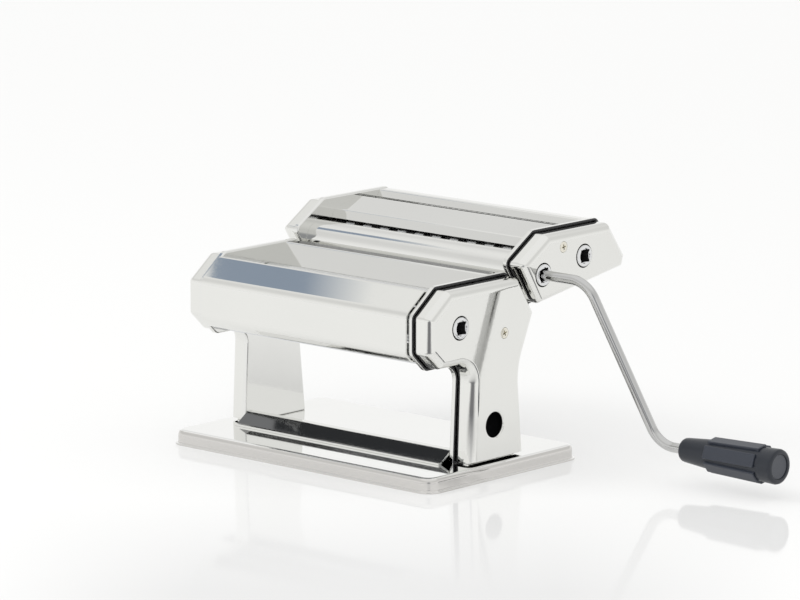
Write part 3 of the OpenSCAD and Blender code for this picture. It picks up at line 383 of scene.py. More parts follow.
def dress(obj, body, material, *replaced, bevel=0.0, slot=None):
    """Shading, finish and body of a piece."""
    if not obj.data.materials:
        obj.data.materials.append(FINISHES[material])
    obj.data.shade_smooth()
    obj.data.set_sharp_from_angle(angle=math.radians(SHARP_ANGLE))
    if bevel:
        edge = obj.modifiers.new("edge", "BEVEL")
        edge.width = bevel * MM
        edge.segments = 3
        edge.limit_method = "ANGLE"
        edge.angle_limit = math.radians(SHARP_ANGLE)
    normals = obj.modifiers.new("normals", "WEIGHTED_NORMAL")
    normals.keep_sharp = True
    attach(obj, body)
    if replaced:
        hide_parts(*replaced)
    return obj


def darken(obj, material, test):
    """Paints a second, darker colour on the faces that pass the test: painted shade and painted reflection.
    """
    obj.data.materials.append(FINISHES[material])
    for face in obj.data.polygons:
        if test(face):
            face.material_index = len(obj.data.materials) - 1


# Finishes by name: each slot of the record has one, and a few more are for single pieces or faces, several
# of them painted shade and painted reflection
FINISHES = {}


def graph_of(owner):
    """Emptied node tree of a material or world."""
    owner.use_nodes = True
    tree = owner.node_tree
    tree.nodes.clear()
    return tree


def add(tree, kind, inputs=(), **settings):
    """Adds a node: settings are its own options, inputs are values or sockets by name or number."""
    node = tree.nodes.new(kind)
    for key, value in settings.items():
        setattr(node, key, value)
    for key, value in dict(inputs).items():
        if isinstance(value, bpy.types.NodeSocket):
            tree.links.new(value, node.inputs[key])
        else:
            node.inputs[key].default_value = value
    return node


def surface(name, colour, rough, metallic=0.0, stretch=(1, 1, 1), grain=900.0, bump=0.02, shade=0.05):
    """Procedural finish: a stretched grain drives roughness and bump, a soft cloud varies the colour."""
    cloud, relief_depth = 30.0, 0.0002
    material = bpy.data.materials.new(name)
    tree = graph_of(material)
    place = add(tree, "ShaderNodeTexCoord").outputs["Object"]
    lines = add(tree, "ShaderNodeMapping", {"Vector": place, "Scale": stretch}).outputs[0]
    fine = add(tree, "ShaderNodeTexNoise", {"Vector": lines, "Scale": grain, "Detail": 5.0}).outputs["Fac"]
    soft = add(tree, "ShaderNodeTexNoise", {"Vector": place, "Scale": cloud, "Detail": 3.0}).outputs["Fac"]
    spread = add(tree, "ShaderNodeMapRange", {"Value": fine, "From Min": 0.3, "From Max": 0.7,
                                              "To Min": rough[0], "To Max": rough[1]}).outputs[0]
    dark = [c * (1 - shade) for c in colour] + [1]
    tint = add(tree, "ShaderNodeMix", {"Factor": soft, "A": dark, "B": [*colour, 1]}, data_type="RGBA")
    relief = add(tree, "ShaderNodeBump", {"Height": fine, "Strength": bump, "Distance": relief_depth})
    shader = add(tree, "ShaderNodeBsdfPrincipled",
                 {"Base Color": tint.outputs["Result"], "Roughness": spread, "Normal": relief.outputs[0],
                  "Metallic": metallic})
    add(tree, "ShaderNodeOutputMaterial", {"Surface": shader.outputs[0]})
    FINISHES[name] = material
    return name


CHROME = surface("chrome_sheet", (0.80, 0.80, 0.775), (0.03, 0.07), 1, grain=700, bump=0.004, shade=0.03)
BASE_CHROME = surface("base_chrome", (0.92, 0.92, 0.91), (0.03, 0.07), 1, grain=700, bump=0.004, shade=0.03)
PLATE = surface("plate_steel", (0.80, 0.80, 0.78), (0.05, 0.10), 1, grain=700, bump=0.006, shade=0.04)
# Greyer colour for the base's side faces: a painted reflection of dark surroundings
RIM_PAINTED_REFLECTION = surface("rim_painted_reflection", (0.67, 0.655, 0.635), (0.05, 0.10), 1, grain=700, bump=0.004, shade=0.03)
# Near-black colour for the cross tie's slope: a painted reflection of the head's dark underside
TIE_PAINTED_REFLECTION = surface("tie_painted_reflection", (0.15, 0.152, 0.156), (0.06, 0.12), 1, grain=900)
TOP_SHADE = surface("top_shade", (0.08, 0.082, 0.085), (0.12, 0.2), 1, grain=900)
# Dark colour of seams, cover insides and socket holes: painted shade
SEAM_PAINTED_SHADE = surface("seam_shadow", (0.05, 0.05, 0.053), (0.35, 0.5), 0.6, grain=900)
ROLLER = surface("roller_steel", (0.74, 0.745, 0.75), (0.16, 0.30), 1, (1, 0.03, 0.03), 2600, 0.03)
CUTTER = surface("cutter_steel", (0.62, 0.625, 0.63), (0.18, 0.34), 1, (1, 0.05, 0.05), 2200, 0.03)
ROD = surface("rod_steel", (0.76, 0.765, 0.77), (0.06, 0.13), 1, (0.05, 1, 1), 1600, 0.01)
# Greyer copy of the rod steel for the crank rod: painted darker reflection
CRANK_PAINTED_REFLECTION = surface("crank_painted_reflection", (0.58, 0.58, 0.575), (0.06, 0.13), 1, (0.05, 1, 1), 1600, 0.01)
SCREW = surface("screw_steel", (0.80, 0.77, 0.68), (0.12, 0.24), 1, grain=1800, bump=0.03)
SPRING = surface("spring_steel", (0.5, 0.5, 0.52), (0.2, 0.3), 1, grain=1800)
KNOB = surface("knob_plastic", (0.018, 0.019, 0.022), (0.3, 0.42), 0, grain=2400, bump=0.06, shade=0.2)
GRIP = surface("grip_plastic", (0.014, 0.018, 0.027), (0.28, 0.4), 0, grain=2600, bump=0.08, shade=0.15)
# Lighter copy of the grip plastic for its pads: painted light
PAD_PAINTED_LIGHT = surface("pad_painted_light", (0.034, 0.040, 0.056), (0.28, 0.4), 0, grain=2600, bump=0.08, shade=0.15)
CAP = surface("cap_plastic", (0.072, 0.078, 0.093), (0.36, 0.5), 0, grain=2600, bump=0.08, shade=0.15)
INK = surface("dial_ink", (0.012, 0.012, 0.013), (0.5, 0.6), 0, grain=2000, shade=0.2)

# Finishes of pieces that show as plain solids
surface("blade_steel", (0.70, 0.71, 0.72), (0.15, 0.28), 1, (0.04, 1, 1), 2200, 0.02)
surface("gear_steel", (0.5, 0.49, 0.46), (0.3, 0.45), 1, grain=1500, bump=0.05)
surface("dial_steel", (0.72, 0.72, 0.72), (0.22, 0.34), 1, (1, 0.05, 1), 1800, 0.03)
surface("bush_plastic", (0.78, 0.76, 0.7), (0.35, 0.5), 0, grain=1500, bump=0.05)
surface("bush_bronze", (0.55, 0.38, 0.2), (0.3, 0.45), 1, grain=1500, bump=0.05)

# Every solid gets its slot's finish; those that a piece replaces don't show
for part in frame["record"]["subparts"]:
    for place in frame["nodes"][part["node"]].material_slots:
        place.material = FINISHES[part["material_slot"]]

# Corners of the main outline by number
WAIST, REAR, SEAT, CREASE_TOP, CREASE, LOWER, UNDER = range(2, 9)


def main_outline(foot_z):
    return [
        (LEG_FRONT - FLARE_FRONT, foot_z, SHARP_R),
        (LEG_REAR + FLARE_REAR, foot_z, SHARP_R),
        (LEG_REAR, WAIST_Z, WAIST_R),
        corner(REAR_POINT, CORNER_R),
        corner(SEAT_TOP, CORNER_R),
        (HEAD_FRONT + CREASE_SETBACK, HEAD_TOP, CORNER_R),
        (HEAD_FRONT, HEAD_TOP - CREASE_DROP, CORNER_R),
        (HEAD_FRONT, HEAD_BOTTOM + LOWER_RISE, CORNER_R),
        (HEAD_FRONT + LOWER_SETBACK, HEAD_BOTTOM, CORNER_R),
        (LEG_FRONT, HEAD_BOTTOM, ARMPIT_R),
    ]


def on_line(p, direction, z):
    return p + direction * ((z - p.y) / direction.y)


PLATE_OUTLINE = main_outline(BASE_H)
NOSE = WIDE_DRIVE - SEAT_N * (CUTTER_OFF - SEAT_GAP) + SEAT_D * NOSE_OFF
CUTTER_OUTLINE = [
    corner(NOSE, CORNER_R),
    corner(on_line(NOSE, SEAT_D, WIDE_DRIVE.y - CUTTER_UNDER), CORNER_R),
    corner(NARROW_DRIVEN + Vector((REAR_REACH - REAR_UNDERCUT, -BOTTOM_DROP)), REAR_CORNER_R),
    corner(NARROW_DRIVEN + Vector((REAR_REACH, -REAR_DROP)), REAR_CORNER_R),
    (NARROW_DRIVEN.x + TOP_REACH, CUTTER_TOP, CORNER_R),
    corner(on_line(NOSE, SEAT_N, CUTTER_TOP), CORNER_R),
]


# Pressed covers and plates, with the counts of face bands that get painted shade
INSIDE_BANDS = 5
RIM_BANDS = 2


def arc_stations(x, d, r, steps, first, last):
    """Stations (x, inset) on a rounding about the point (x, d)."""
    angles = [math.radians(first + (last - first) * k / steps) for k in range(steps + 1)]
    return [(x + r * math.sin(a), d - r * math.cos(a)) for a in angles]


def cover_shape(outline):
    """Hollow cup with a rounded face edge that drops into the plate's rim."""
    round_x = FACE_X - COVER_FILLET
    inside = arc_stations(round_x, COVER_FILLET, COVER_FILLET - COVER_SHEET, INSIDE_BANDS - 1, 90, 0)
    wall = [(WEB_X, COVER_SHEET), (WEB_X, 0)]
    face = arc_stations(round_x, COVER_FILLET, COVER_FILLET, FILLET_STEPS, 0, 90)
    rim = inset(outline, COVER_STEP)
    return loft([at_x(x, ring(inset(rim, d))) for x, d in inside + wall + face])


def plate_shape(outline):
    """Pan with its rim turned outwards; its first two bands of faces are the rim's inside and its edge."""
    fold = arc_stations(INNER_X + PLATE_FOLD, PLATE_FOLD, PLATE_FOLD, 6, 0, -90)
    rim = [(RIM_X, PLATE_SHEET), (RIM_X, RIM_BREAK), (RIM_X - RIM_BREAK, 0)]
    stations = [(WEB_X, PLATE_SHEET)] + rim + fold
    return loft([at_x(x, ring(inset(outline, d))) for x, d in stations])


def hole(centre, r, rounding=HOLE_ROUND):
    """Cutting tool for a hole with a rounded mouth in a cover's face."""
    mouth = [(r + rounding * (1 - math.cos(math.radians(a))),
              FACE_X - rounding * (1 - math.sin(math.radians(a)))) for a in (0, 25, 45, 65, 90)]
    stations = [(r, FACE_X - HOLE_DEPTH)] + mouth + [(r + rounding, FACE_X + TOOL_PAST)]
    return turned(stations, centre, HOLE_SEGMENTS)


def through(centre, r):
    """Cutting tool for a plain hole in a plate."""
    return turned([(r, INNER_X - TOOL_PAST), (r, RIM_X + TOOL_PAST)], centre, HOLE_SEGMENTS)


def countersink(centre):
    """Cutting tool for the seat of a screw head in a cover's face."""
    shank, top, depth = SCREW_R + SCREW_ROOM, FACE_X, 5
    stations = [(shank, top - depth), (shank, top - SCREW_CONE - SCREW_ROOM),
                (SCREW_HEAD_R + SEAT_ROOM, top - SCREW_ROOM), (SCREW_HEAD_R + 2 * SEAT_ROOM, top + 1)]
    return turned(stations, centre, 48)


def to_side(obj, side):
    if side < 0:
        obj.data.transform(Matrix.Scale(-1, 4, Vector((1, 0, 0))))
        obj.data.flip_normals()


def pressed(name, shape, dark_faces, side, body, finish, replaced, holes):
    """Pressed shell with painted shade on its first faces and first cap: the inside and the edge of a
    plate's rim.
    """
    obj = make(name, shape)
    obj.data.materials.append(FINISHES[finish])
    darken(obj, SEAM_PAINTED_SHADE, lambda f: f.index < dark_faces or f.index == len(obj.data.polygons) - 2)
    cut(obj, *holes)
    to_side(obj, side)
    dress(obj, body, finish, replaced)


def pressed_cover(name, outline, side, body, replaced, holes):
    dark_faces = INSIDE_BANDS * len(ring(outline))
    pressed(name, cover_shape(outline), dark_faces, side, body, CHROME, replaced, holes)


def pressed_plate(name, outline, side, body, replaced, holes):
    dark_faces = RIM_BANDS * len(ring(outline))
    pressed(name, plate_shape(outline), dark_faces, side, body, PLATE, replaced, holes)


# Feet of the plates and rooms for bushes
FOOT_TAB = 9.0
TAB_HALF = 19.0
TAB_SINK = 0.01
FOOT_SPARE = 3.0
SHAFT_BUSH_R = 4.7
SHAFT_ROOM = 0.02
MAIN_BUSH_R = 8.0
CUTTER_BUSH_R = 6.0
NECK_ROOM = 8.8


def main_shells():
    far = 100
    foot_cut = block((0, -far, -far), (2 * far, far, BASE_H + COVER_LIFT))
    deep = main_outline(BASE_H - COVER_STEP - COVER_FILLET - FOOT_SPARE)
    pressed_cover("right_cover_shell", deep, 1, "stand", "right_outer_cover",
                  [foot_cut, hole(FRONT_AXIS, SOCKET_R + SOCKET_ROOM), hole(CLAMP_AT, CLAMP_R, CLAMP_ROUND),
                   countersink(MAIN_SCREW_RIGHT)])
    pressed_cover("left_cover_shell", deep, -1, "stand", "left_outer_cover",
                  [foot_cut, hole(SHAFT_AXIS, SHAFT_BUSH_R + SHAFT_ROOM), countersink(MAIN_SCREW_LEFT)])
    pressed_plate("right_plate_pan", PLATE_OUTLINE, 1, "stand", "right_inner_plate",
                  [through(FRONT_AXIS, MAIN_BUSH_R), through(SHAFT_AXIS, SHAFT_BUSH_R),
                   through(CLAMP_AT, CLAMP_R)])
    pressed_plate("left_plate_pan", PLATE_OUTLINE, -1, "stand", "left_inner_plate",
                  [through(FRONT_AXIS, MAIN_BUSH_R), through(REAR_AXIS, NECK_ROOM)])
    tab = block((WEB_X - TAB_SINK, -TAB_HALF, BASE_H), (WEB_X + FOOT_TAB, TAB_HALF, BASE_H + PLATE_SHEET))
    dress(make("foot_tabs", joined(tab, mirrored(tab))), "stand", PLATE, bevel=0.2)


def cutter_shells():
    pressed_cover("cutter_right_shell", CUTTER_OUTLINE, 1, "cutter_head", "cutter_right_cover",
                  [hole(WIDE_DRIVE, SOCKET_R + SOCKET_ROOM), hole(NARROW_DRIVE, SOCKET_R + SOCKET_ROOM),
                   countersink(CUTTER_SCREW_RIGHT)])
    pressed_cover("cutter_left_shell", CUTTER_OUTLINE, -1, "cutter_head", "cutter_left_cover",
                  [countersink(CUTTER_SCREW_LEFT)])
    axes = (WIDE_DRIVE, WIDE_DRIVEN, NARROW_DRIVE, NARROW_DRIVEN)
    for side, name in ((1, "right"), (-1, "left")):
        pressed_plate(f"cutter_{name}_pan", CUTTER_OUTLINE, side, "cutter_head", f"cutter_{name}_plate",
                      [through(p, CUTTER_BUSH_R) for p in axes])


main_shells()
cutter_shells()


# Base: a pressed tray with a lip
def base():
    corner_r, lip, wall, edge, brim_r, neck_r = 9.0, 1.5, 1.2, 3.0, 0.5, 0.9

    def plan(d):
        x, y = BASE_HALF.x - d, BASE_HALF.y - d
        r = max(corner_r - d, 1.0)
        return ring([(x, -y, r), (x, y, r), (-x, y, r), (-x, -y, r)])

    def bow(d, z, r, first, last, steps):
        turns = [math.radians(first + (last - first) * k / steps) for k in range(steps + 1)]
        return [(d - r * math.cos(a), z + r * math.sin(a)) for a in turns]

    under = [(lip + edge, BASE_H - wall), (lip + wall, BASE_H - edge), (lip + wall, 0)]
    brim = bow(brim_r, brim_r, brim_r, -90, 0, 4) + bow(brim_r, wall - brim_r, brim_r, 0, 90, 4)
    neck = bow(lip - neck_r, wall + neck_r, neck_r, -90, -180, 5)
    top = bow(lip + edge, BASE_H - edge, edge, 0, 90, 10)
    rings = [[(p[0], p[1], z) for p in plan(d)] for d, z in under + brim + neck + top]
    tray = dress(make("base_tray", loft(rings)), "stand", BASE_CHROME, "base_plate", slot="chrome_sheet")
    # The side faces of the base are painted greyer: painted reflection
    darken(tray, RIM_PAINTED_REFLECTION, lambda f: -0.5 < f.normal.z < 0.8)


base()


# Sheets between the plates
def sheet(name, path, thickness, material, body, replaced, cuts=(), bevel=EDGE_BEVEL):
    obj = make(name, extruded(bent(path, thickness), -INNER_X, INNER_X))
    if cuts:
        cut(obj, *cuts)
    return dress(obj, body, material, replaced, bevel=bevel)


def faces_up(face):
    return face.normal.z > 0.97


SHEET_BEND = 2.0
FRONT_PROUD = 1.5
FRONT_SLOPE = 20.1
FRONT_BEVEL = 5.7
FRONT_FLANGE = 5.5
FRONT_LIP = polar(ROLLER_R + 1.0, 125)
HOPPER_REACH = 15.1
HOPPER_FLANGE = 3.5
HOPPER_LIP = polar(ROLLER_R + 1.8, 47)
HOPPER_TOP = Vector((REAR_AXIS.x + HOPPER_REACH, HEAD_TOP - STEP_IN))
FLANGE_GAP = 0.2
REAR_TAIL = 15.0
SLOT_PAST = 3

# Steps of a tongue's slot: width, depth and start along the seat
SLOT_STEPS = ((2.2, 3, -20.0), (4, 12, -5.0))


def front_cover():
    proud = points(inset(PLATE_OUTLINE, -FRONT_PROUD))
    r = CORNER_R + FRONT_PROUD
    top_edge = towards(proud[CREASE], proud[CREASE_TOP], FRONT_SLOPE)
    flange_edge = towards(proud[LOWER], proud[UNDER], FRONT_BEVEL)
    path = [corner(flange_edge + Vector((FRONT_FLANGE, 0)), 0), corner(flange_edge, SHEET_BEND),
            corner(proud[LOWER], r), corner(proud[CREASE], r), corner(top_edge, SHEET_BEND),
            corner(FRONT_AXIS + FRONT_LIP, 0)]
    sheet("front_cover_sheet", path, -SHEET, CHROME, "stand", "front_cover")


def hopper_plate():
    path = [corner(REAR_AXIS + HOPPER_LIP, 0), corner(HOPPER_TOP, SHEET_BEND),
            corner(HOPPER_TOP + Vector((HOPPER_FLANGE, 0)), 0)]
    plate = sheet("hopper_sheet", path, -SHEET, PLATE, "stand", "hopper_plate", bevel=0)
    darken(plate, TOP_SHADE, faces_up)


def rear_cover():
    """Cover with two stepped slots that take the cutter head's tongues."""
    seat = Matrix.Translation((0, SEAT_TOP.x, SEAT_TOP.y)) @ Matrix.Rotation(
        math.atan2(SEAT_N.y, SEAT_N.x), 4, "X")
    slots = []
    for width, depth, start in SLOT_STEPS:
        tool = block((INNER_X - width, -depth, start), (INNER_X + 1, SLOT_PAST, SEAT_LEN), seat)
        slots += [tool, mirrored(tool)]
    head = points(inset(PLATE_OUTLINE, STEP_IN))
    r = CORNER_R - STEP_IN
    path = [corner(HOPPER_TOP + Vector((HOPPER_FLANGE + FLANGE_GAP, 0)), 0), corner(head[SEAT], r),
            corner(head[REAR], r), corner(towards(head[REAR], head[WAIST], REAR_TAIL), 0)]
    cover = sheet("rear_cover_sheet", path, -SHEET, CHROME, "stand", "rear_cover", cuts=slots)
    darken(cover, TOP_SHADE, faces_up)


def cross_tie():
    bend, rise, slope, toe_len, top = 2.0, 5.5, 8.0, 2.2, 6.0
    crest = Vector((LEG_FRONT - FLARE_FRONT + bend, BASE_H + rise))
    toe = Vector((crest.x - slope, BASE_H))
    path = [corner(toe - Vector((toe_len, 0)), 0), corner(toe, bend), corner(crest, bend),
            corner(crest + Vector((top, 0)), bend), (crest.x + top, BASE_H, 0)]
    tie = sheet("cross_tie_sheet", path, PLATE_SHEET, PLATE, "stand", "cross_tie")
    # The front slope is painted near-black: painted reflection
    darken(tie, TIE_PAINTED_REFLECTION, lambda f: -0.95 < f.normal.y < -0.3)


front_cover()
hopper_plate()
rear_cover()
cross_tie()

# Sheets of the cutter head
SHELL_R = 11.0
SHELL_FROM = 54
SHELL_STEPS = 40
DISC_R = 8.5
LIP_CLEAR = 1.2
LIP_BEND = 1.5
REAR_LIP = polar(DISC_R + LIP_CLEAR, 99.5)
REAR_LIP_RUN = 2.4
HOOD_TAIL = 5.0
GUIDE_R = DISC_R + LIP_CLEAR + STEP_IN / 2
GUIDE_FRONT = WIDE_DRIVEN + polar(GUIDE_R, 123.5)
GUIDE_REAR = NARROW_DRIVE + polar(GUIDE_R, 46.2)
GUIDE_FRONT_BEND = GUIDE_FRONT + Vector((2.9, 4.9))
GUIDE_REAR_BEND = GUIDE_REAR + Vector((-1.4, 2.8))
GUIDE_PEAK = NARROW_DRIVE + Vector((0.5, DISC_R + 6.3))
GUIDE_PEAK_R = 3


def front_shell():
    seat_angle = math.degrees(math.atan2(SEAT_N.x, SEAT_N.y))
    sweep = 270 - seat_angle - SHELL_FROM
    angles = [SHELL_FROM + sweep * k / SHELL_STEPS for k in range(SHELL_STEPS + 1)]
    outer = [WIDE_DRIVE + polar(SHELL_R, a) for a in angles]
    inner = [WIDE_DRIVE + polar(SHELL_R - SHEET, a) for a in angles]
    obj = make("front_shell_sheet", extruded(outer + inner[::-1], -INNER_X, INNER_X))
    dress(obj, "cutter_head", PLATE, "front_shell", bevel=EDGE_BEVEL)


def rear_shell():
    hood = points(inset(CUTTER_OUTLINE, STEP_IN))
    bottom, rear, top = hood[2:5]
    lip = NARROW_DRIVEN + REAR_LIP
    path = [corner(lip, 0), (lip.x + REAR_LIP_RUN, CUTTER_TOP - STEP_IN, LIP_BEND),
            corner(top, CORNER_R - STEP_IN), corner(rear, REAR_CORNER_R - STEP_IN),
            corner(towards(rear, bottom, HOOD_TAIL), 0)]
    sheet("rear_shell_sheet", path, -SHEET, PLATE, "cutter_head", "rear_shell")


def centre_guide():
    path = [corner(GUIDE_FRONT, 0), corner(GUIDE_FRONT_BEND, LIP_BEND), corner(GUIDE_PEAK, GUIDE_PEAK_R),
            corner(GUIDE_REAR_BEND, LIP_BEND), corner(GUIDE_REAR, 0)]
    sheet("centre_guide_sheet", path, -SHEET, PLATE, "cutter_head", "centre_guide")


front_shell()
rear_shell()
centre_guide()

# Smooth rollers
JOURNAL_R = 6.0
JOURNAL_EDGE = 0.3
NECK_R = 7.2
BORE_R = 6.05
ROLLER_EDGE = 0.8
ROLLER_BREAK = 0.25
ROLLER_SEGMENTS = 96


def barrel():
    """Stations (radius, x) of a roller's working length with its rounded ends."""
    h, r = ROLLER_HALF, ROLLER_R
    end = [(r - ROLLER_EDGE, h), (r - ROLLER_BREAK, h - ROLLER_BREAK), (r, h - ROLLER_EDGE)]
    return [(s, -x) for s, x in end] + end[::-1]


def front_roller():
    x0, x1, h, r = low("front_roller").x, high("front_roller").x, ROLLER_HALF, JOURNAL_R
    stations = [(r - JOURNAL_EDGE, x0), (r, x0 + JOURNAL_EDGE), (r, -h)] + barrel() + [(r, h), (r, x1)]
    obj = make("front_roller_turned", turned(stations, FRONT_AXIS, ROLLER_SEGMENTS))
    dress(obj, "front_roller_set", ROLLER, "front_roller")


def rear_roller():
    x0, h = low("rear_roller").x, ROLLER_HALF
    stations = [(BORE_R, x0), (NECK_R, x0), (NECK_R, -h)] + barrel() + [(BORE_R, h)]
    obj = make("rear_roller_turned", turned(stations, REAR_AXIS, ROLLER_SEGMENTS, closed=True))
    dress(obj, "rear_roller_set", ROLLER, "rear_roller")


front_roller()
rear_roller()

# Cutting rollers
WIDE_W = 6.5
NARROW_W = 2.0
DISC_ROOM = 0.4
CUTTER_END_ROOM = 0.5
CORE_R = (WIDE_DRIVEN - WIDE_DRIVE).length - DISC_R - DISC_ROOM
CUTTER_HALF = ROLLER_HALF - CUTTER_END_ROOM


def cutter(name, width, offset, axis, body, replaced):
    """Cutting roller: discs of the noodle width with a groove as wide between them."""
    gap, edge, journal, tiny = 0.15, 0.12, 4.0, 1e-6
    x0, x1 = low(replaced).x, high(replaced).x
    stations = [(journal, x0), (journal, -CUTTER_HALF), (CORE_R, -CUTTER_HALF)]
    x = -width * math.floor(CUTTER_HALF / width) + offset * width
    while x <= CUTTER_HALF - width + tiny:
        a, b = x + gap, x + width - gap
        stations += [(CORE_R, a), (DISC_R - edge, a), (DISC_R, a + edge), (DISC_R, b - edge),
                     (DISC_R - edge, b), (CORE_R, b)]
        x += 2 * width
    stations += [(CORE_R, CUTTER_HALF), (journal, CUTTER_HALF), (journal, x1)]
    dress(make(name, turned(stations, axis, 56)), body, CUTTER, replaced)


cutter("wide_drive_turned", WIDE_W, 0, WIDE_DRIVE, "wide_drive", "wide_drive_cutter")
cutter("wide_driven_turned", WIDE_W, 1, WIDE_DRIVEN, "wide_driven", "wide_driven_cutter")
cutter("narrow_drive_turned", NARROW_W, 0, NARROW_DRIVE, "narrow_drive", "narrow_drive_cutter")
cutter("narrow_driven_turned", NARROW_W, 1, NARROW_DRIVEN, "narrow_driven", "narrow_driven_cutter")

# Tie rods
TIE_R = 2.5
STOP_GAP = 0.4
STOP_DOWN = 21.5
MAIN_RODS = (FRONT_AXIS + Vector((-15.4, -14.1)),
             REAR_AXIS + Vector((20.8, -15.6)),
             SEAT_TOP - SEAT_N * (TIE_R + SHEET + STEP_IN + STOP_GAP) - SEAT_D * STOP_DOWN)
CUTTER_RODS = (CUTTER_MIDDLE + Vector((0, 10.4)),
               CUTTER_MIDDLE + Vector((1, -14.2)),
               NARROW_DRIVEN + Vector((13.4, -8.2)))


def rods(name, places, body, replaced):
    bars = [turned([(TIE_R, -INNER_X), (TIE_R, INNER_X)], p, 40) for p in places]
    dress(make(name, joined(*bars)), body, ROD, replaced)


rods("main_rods", MAIN_RODS, "stand", "main_tie_rods")
rods("cutter_rods", CUTTER_RODS, "cutter_head", "cutter_tie_rods")


# Crank sockets and cross-recessed screws
def socket(name, axis, angle, body, replaced):
    """Ring with a dished mouth round a square hole whose inside is painted dark: painted shade."""
    x0, mouth = low(replaced).x, high(replaced).x
    r, half = SOCKET_R, SOCKET_SQUARE / 2
    edge, soft, dish = 0.9, 0.3, 0.6
    profile = [(r, x0), (r, mouth - edge), (r - soft, mouth - soft), (r - edge, mouth), (half * 1.22, mouth),
               (half * 1.1, mouth - dish), (half * 0.9, mouth - dish - 0.1)]
    square = block((mouth - SOCKET_DEPTH, -half, -half), (mouth + 1, half, half), about(axis, angle))
    ring_piece = dress(cut(make(name, turned(profile, axis)), square), body, ROD, replaced)

    def in_square(face):
        off = Vector(face.center.yz) / MM - axis
        return off.length < half * 1.3 and face.center.x / MM < mouth - dish - 0.2

    # Faces inside the square hole get painted shade
    darken(ring_piece, SEAM_PAINTED_SHADE, in_square)


socket("roller_socket_ring", FRONT_AXIS, 0, "front_roller_set", "roller_socket")
socket("wide_socket_ring", WIDE_DRIVE, CRANK_SWING, "wide_drive", "wide_socket")
socket("narrow_socket_ring", NARROW_DRIVE, 0, "narrow_drive", "narrow_socket")


def screw_shape(centre):
    r, top, edge = SCREW_HEAD_R, FACE_X, 0.12
    return turned([(SCREW_R, top - SCREW_LEN), (SCREW_R, top - SCREW_CONE), (r, top - edge), (r - 0.1, top),
                   (r * 0.6, top + edge), (0.2, top + SCREW_CROWN)], centre, 40)


def cross_recess(centre, angle):
    place = Matrix.Translation((FACE_X, 0, 0)) @ about(centre, angle)
    arms = ((CROSS_HALF, CROSS_THICK), (CROSS_THICK, CROSS_HALF))
    return [block((-CROSS_DEPTH, -a, -b), (1, a, b), place) for a, b in arms]


def screws(name, right, left_side, angles, body, replaced):
    shapes = []
    for centre, angle, side in ((right, angles[0], 1), (left_side, angles[1], -1)):
        obj = cut(make("screw", screw_shape(centre)), *cross_recess(centre, angle))
        verts = [tuple(c / MM for c in v.co) for v in obj.data.vertices]
        faces = [tuple(p.vertices) for p in obj.data.polygons]
        bpy.data.objects.remove(obj)
        shapes.append((verts, faces) if side > 0 else mirrored((verts, faces)))
    dress(make(name, joined(*shapes)), body, SCREW, replaced)


screws("main_screws", MAIN_SCREW_RIGHT, MAIN_SCREW_LEFT, (20, 55), "stand", "main_cover_screws")
screws("cutter_screws", CUTTER_SCREW_RIGHT, CUTTER_SCREW_LEFT, (10, 70), "cutter_head",
       "cutter_cover_screws")


# Regulator: fluted knob, its spring and plain numbers round the dial
def knob():
    x0, x1 = low("regulator_knob").x, high("regulator_knob").x
    skirt, grip_r, well, flutes, deep, segments = 13.0, 11.2, 5.9, 16, 0.9, 192

    def fluted(r, depth):
        outline = []
        for k in range(segments):
            a = 360 * k / segments
            wave = max(0, math.cos(math.radians(flutes * a)))
            outline.append(SHAFT_AXIS + polar(r - depth * wave ** 2, a))
        return outline

    # Each station is a radius, a place along X and a depth of the flutes
    stations = [(well, x0 + 5.0, 0), (well, x0 + 0.6, 0), (well + 0.6, x0, 0), (grip_r - 2.0, x0, 0.3),
                (grip_r - 1.0, x0 + 0.3, 0.7), (grip_r - 0.5, x0 + 1, deep), (grip_r, x1 - 5, deep),
                (grip_r, x1 - 4, 0), (skirt - 0.8, x1 - 3.4, 0), (skirt, x1 - 2.6, 0), (skirt, x1 - 0.5, 0),
                (skirt - 0.5, x1, 0)]
    rings = [at_x(x, fluted(r, d)) for r, x, d in stations]
    dress(make("knob_moulding", loft(rings)), "knob", KNOB, "regulator_knob")


def spring(turns=4, wire=0.45):
    """Wire along a helix that moves with the knob; the real spring is pressed together against the knob's
    floor when the knob is pulled.
    """
    box_low, box_high = low("knob_spring"), high("knob_spring")
    length = box_high.x - box_low.x
    r, steps = (box_high.z - box_low.z) / 2 - wire, 48 * turns
    section = [polar(wire, 36 * k) for k in range(10)]
    rings = []
    for i in range(steps + 1):
        a = 2 * math.pi * turns * i / steps
        x = box_high.x - wire - (length - 2 * wire) * i / steps
        out = Vector((math.cos(a), math.sin(a)))
        rings.append([(x + q.y, *(SHAFT_AXIS + out * (r + q.x))) for q in section])
    obj = dress(make("knob_spring_wire", loft(rings)), "knob", SPRING, "knob_spring")
    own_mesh(obj)


def numerals(count=6, half_travel=60, r=14.5, size=2.6):
    shapes = []
    dial_x, lift, thickness = low("dial_plate").x, 0.03, 0.04
    for k in range(count):
        curve = bpy.data.curves.new("numeral", "FONT")
        curve.body = str(k + 1)
        curve.size = size
        curve.align_x = "CENTER"
        curve.align_y = "CENTER"
        curve.extrude = thickness
        text = bpy.data.objects.new("numeral", curve)
        bpy.context.scene.collection.objects.link(text)
        bpy.context.view_layer.update()
        mesh = text.to_mesh()
        p = SHAFT_AXIS + polar(r, 90 - half_travel + 2 * half_travel * k / (count - 1))
        verts = [(dial_x - v.co.z - lift, p.x - v.co.x, p.y + v.co.y) for v in mesh.vertices]
        shapes.append((verts, [tuple(f.vertices) for f in mesh.polygons]))
        text.to_mesh_clear()
        bpy.data.objects.remove(text)
    dress(make("dial_numerals", joined(*shapes)), "stand", INK, slot="knob_plastic")


knob()
spring()
numerals()

